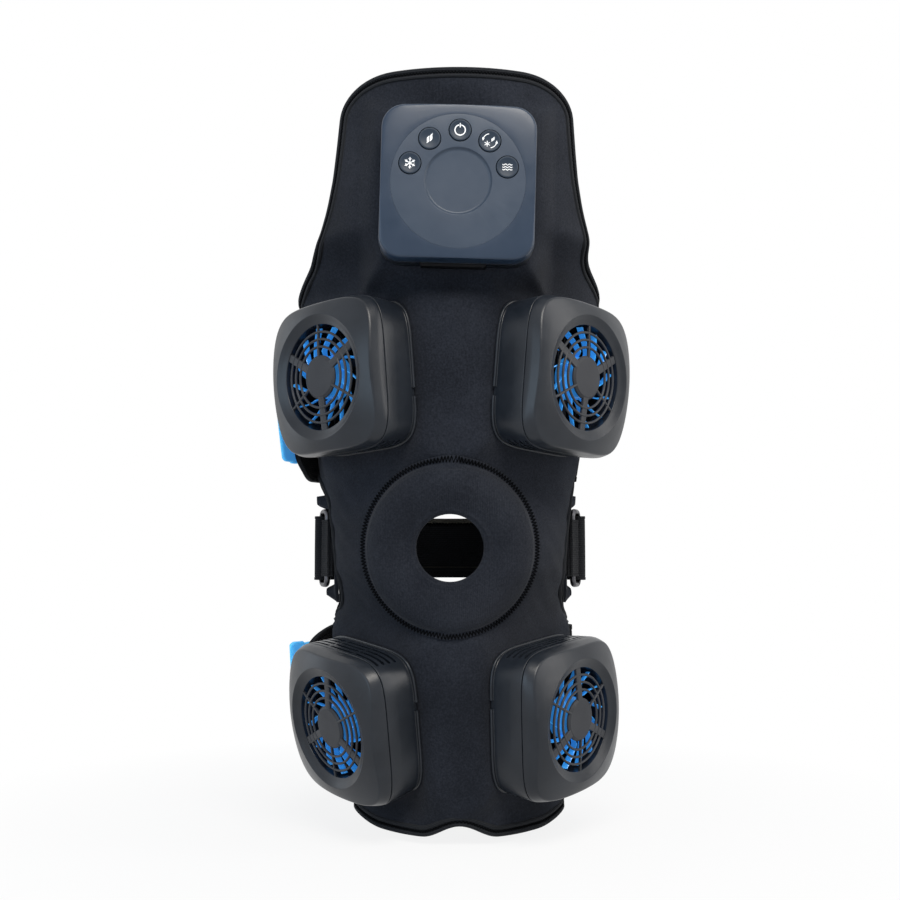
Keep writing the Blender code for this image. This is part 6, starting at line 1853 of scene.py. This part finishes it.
def make_port_cover():
    """The rubber cover over the charging port, with soft edges and a lip to lift it by."""
    half, back = PORT_COVER_WIDTH / 2, -CONTROL_HALF + PORT_RECESS - SEAT_GAP
    front = back - PORT_COVER_THICKNESS
    low, high = PORT_COVER_BACK, PORT_COVER_BACK + PORT_COVER_LENGTH
    builder = bmesh.new()
    for wide, near, far, bottom, top, soft in (
        (half, front, back, low, high, 0.0006),
        (half * 0.96, front - 0.0005, front + 0.0006, high - 0.0016, high - 0.0002, 0.0004),
    ):
        left, right = PORT_COVER_ASIDE - wide, PORT_COVER_ASIDE + wide
        points, faces = block((left, near, bottom), (right, far, top))
        verts = [builder.verts.new(point) for point in points]
        made = [builder.faces.new([verts[i] for i in face]) for face in faces]
        edges = list({edge for face in made for edge in face.edges})
        bmesh.ops.recalc_face_normals(builder, faces=made)
        bmesh.ops.bevel(builder, geom=edges, offset=soft, segments=4, profile=0.5, affect="EDGES")
    mesh = bpy.data.meshes.new("port_lid")
    builder.to_mesh(mesh)
    builder.free()
    mesh.shade_smooth()
    mesh.set_sharp_from_angle(angle=radians(PORT_SHARP_ANGLE))
    piece("port_lid", mesh, "dark", body="port_flap", matrix=CONTROL_MATRIX, nodes=["port_cover"])


# The parts kept from the CAD model, and the set

KEPT_FINISHES = {
    "fan_motor": "dark", "heat_sink": "dark", "peltier": "ceramic", "cold_plate": "aluminium",
    "circuit_board": "board", "battery": "cell", "charge_socket": "steel",
}
FLOOR_Z = BOTTOM_HEIGHT - 0.004
FLOOR_HALF = 6.0
FLOOR_SHADOW_REACH = 0.40
FLOOR_SHADOW_SHARES = (0.86, 1.0)
SKY_COLOUR = (0.80, 0.88, 1.0, 1)
SKY_STRENGTH = 0.30
# Each lamp's place, the point it faces, its size, watts and colour
LAMPS = {
    "overhead": ((0.20, -0.96, 0.94), (0, 0, 0.08), (0.9, 0.5), 17.5, (1.0, 0.95, 0.88)),
    "window_left": ((-1.00, -0.90, 0.02), (0, 0, 0.0), (0.6, 1.0), 5.7, (0.58, 0.79, 1.0)),
    "rim_left": ((-1.00, 0.30, 0.05), (0, 0, 0.0), (0.35, 1.0), 1.4, (0.75, 0.87, 1.0)),
    "rim_right": ((1.05, -0.25, 0.40), (0, 0, 0.1), (0.35, 1.0), 4.5, (1.0, 0.97, 0.94)),
}


def finish_kept_nodes():
    """Gives the pieces that keep their CAD shape their finishes."""
    for name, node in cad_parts.items():
        for start, finish in KEPT_FINISHES.items():
            if name.startswith(start):
                node.data.materials.clear()
                node.data.materials.append(FINISHES[finish])


def seen_white(tree, share, plain, white):
    """Mixes to white for what the camera, reflections and clear pieces see."""
    path = tree.nodes.new("ShaderNodeLightPath")
    total = path.outputs["Is Camera Ray"]
    for ray in ("Is Glossy Ray", "Is Transmission Ray"):
        adding = tree.nodes.new("ShaderNodeMath")
        adding.operation, adding.use_clamp = "ADD", True
        tree.links.new(total, adding.inputs[0])
        tree.links.new(path.outputs[ray], adding.inputs[1])
        total = adding.outputs[0]
    scaled = tree.nodes.new("ShaderNodeMath")
    scaled.operation = "MULTIPLY"
    tree.links.new(total, scaled.inputs[0])
    if isinstance(share, bpy.types.NodeSocket):
        tree.links.new(share, scaled.inputs[1])
    else:
        scaled.inputs[1].default_value = share
    mix = tree.nodes.new("ShaderNodeMixShader")
    tree.links.new(scaled.outputs[0], mix.inputs[0])
    tree.links.new(plain, mix.inputs[1])
    tree.links.new(white, mix.inputs[2])
    return mix.outputs[0]


def make_world():
    """A pale sky for the light, with white for what the camera and reflections see."""
    world = bpy.data.worlds.new("world")
    bpy.context.scene.world = world
    world.use_nodes = True
    tree = world.node_tree
    tree.nodes.clear()
    plain, white = (tree.nodes.new("ShaderNodeBackground") for _ in range(2))
    plain.inputs["Color"].default_value = SKY_COLOUR
    plain.inputs["Strength"].default_value = SKY_STRENGTH
    white.inputs["Color"].default_value = (1, 1, 1, 1)
    out = tree.nodes.new("ShaderNodeOutputWorld")
    tree.links.new(seen_white(tree, 1.0, plain.outputs[0], white.outputs[0]), out.inputs["Surface"])


def make_floor():
    """A pale floor under the hem, which keeps the shadow near the object and runs out to white."""
    corners = [(x * FLOOR_HALF, y * FLOOR_HALF, FLOOR_Z) for x, y in ((-1, -1), (1, -1), (1, 1), (-1, 1))]
    mesh = bpy.data.meshes.new("floor")
    mesh.from_pydata(corners, [], [[0, 1, 2, 3]])
    floor = placed("floor", mesh)
    recipe = Recipe("floor", (0.80, 0.81, 0.82), 0.9, Specular_IOR_Level=0.1)
    distance = recipe.tree.nodes.new("ShaderNodeVectorMath")
    distance.operation = "LENGTH"
    recipe.tree.links.new(recipe.object_place(), distance.inputs[0])
    reaches = (FLOOR_SHADOW_REACH / 2, FLOOR_SHADOW_REACH)
    share = recipe.spread(distance.outputs["Value"], *FLOOR_SHADOW_SHARES, *reaches)
    white = recipe.tree.nodes.new("ShaderNodeEmission")
    white.inputs["Strength"].default_value = 1.0
    mixed = seen_white(recipe.tree, share, recipe.shader.outputs[0], white.outputs[0])
    recipe.tree.links.new(mixed, recipe.tree.nodes["Material Output"].inputs["Surface"])
    mesh.materials.append(recipe.material)


def make_lamp(name, place, aim, size, watts, colour):
    """A rectangular lamp that faces a point."""
    light = bpy.data.lights.new(name, "AREA")
    light.shape = "RECTANGLE"
    light.size, light.size_y = size
    light.energy, light.color = watts, colour
    place, aim = Vector(place), Vector(aim)
    turn = (aim - place).to_track_quat("-Z", "Y").to_matrix().to_4x4()
    placed(name, light, Matrix.Translation(place) @ turn)


def make_camera():
    """The camera in front of the knee, level with its middle."""
    camera = bpy.data.cameras.new("camera")
    camera.lens, camera.sensor_width, camera.clip_start = CAMERA_LENS, CAMERA_SENSOR, CAMERA_CLIP_START
    turn = Matrix.Rotation(radians(90 + CAMERA_PITCH), 4, "X")
    matrix = Matrix.Translation((0, -CAMERA_DISTANCE, 0)) @ turn
    bpy.context.scene.camera = placed("camera", camera, matrix)


make_wrap()
make_hem()
make_patella_pad()
for side, sign in SIDES.items():
    make_side_patch(side, sign)
    make_keeper(side, sign)
    make_ring(side, sign)
make_middle_strap()
for name, strap in WIDE_STRAPS.items():
    make_wide_strap(name, **strap)
    make_pull_tab(name, **strap)
make_modules()
make_control_back()
make_control_cover()
make_dial()
make_buttons()
make_port_cover()
finish_kept_nodes()
make_world()
make_floor()
for name, setting in LAMPS.items():
    make_lamp(name, *setting)
make_camera()
bpy.context.scene.view_settings.view_transform = "Standard"
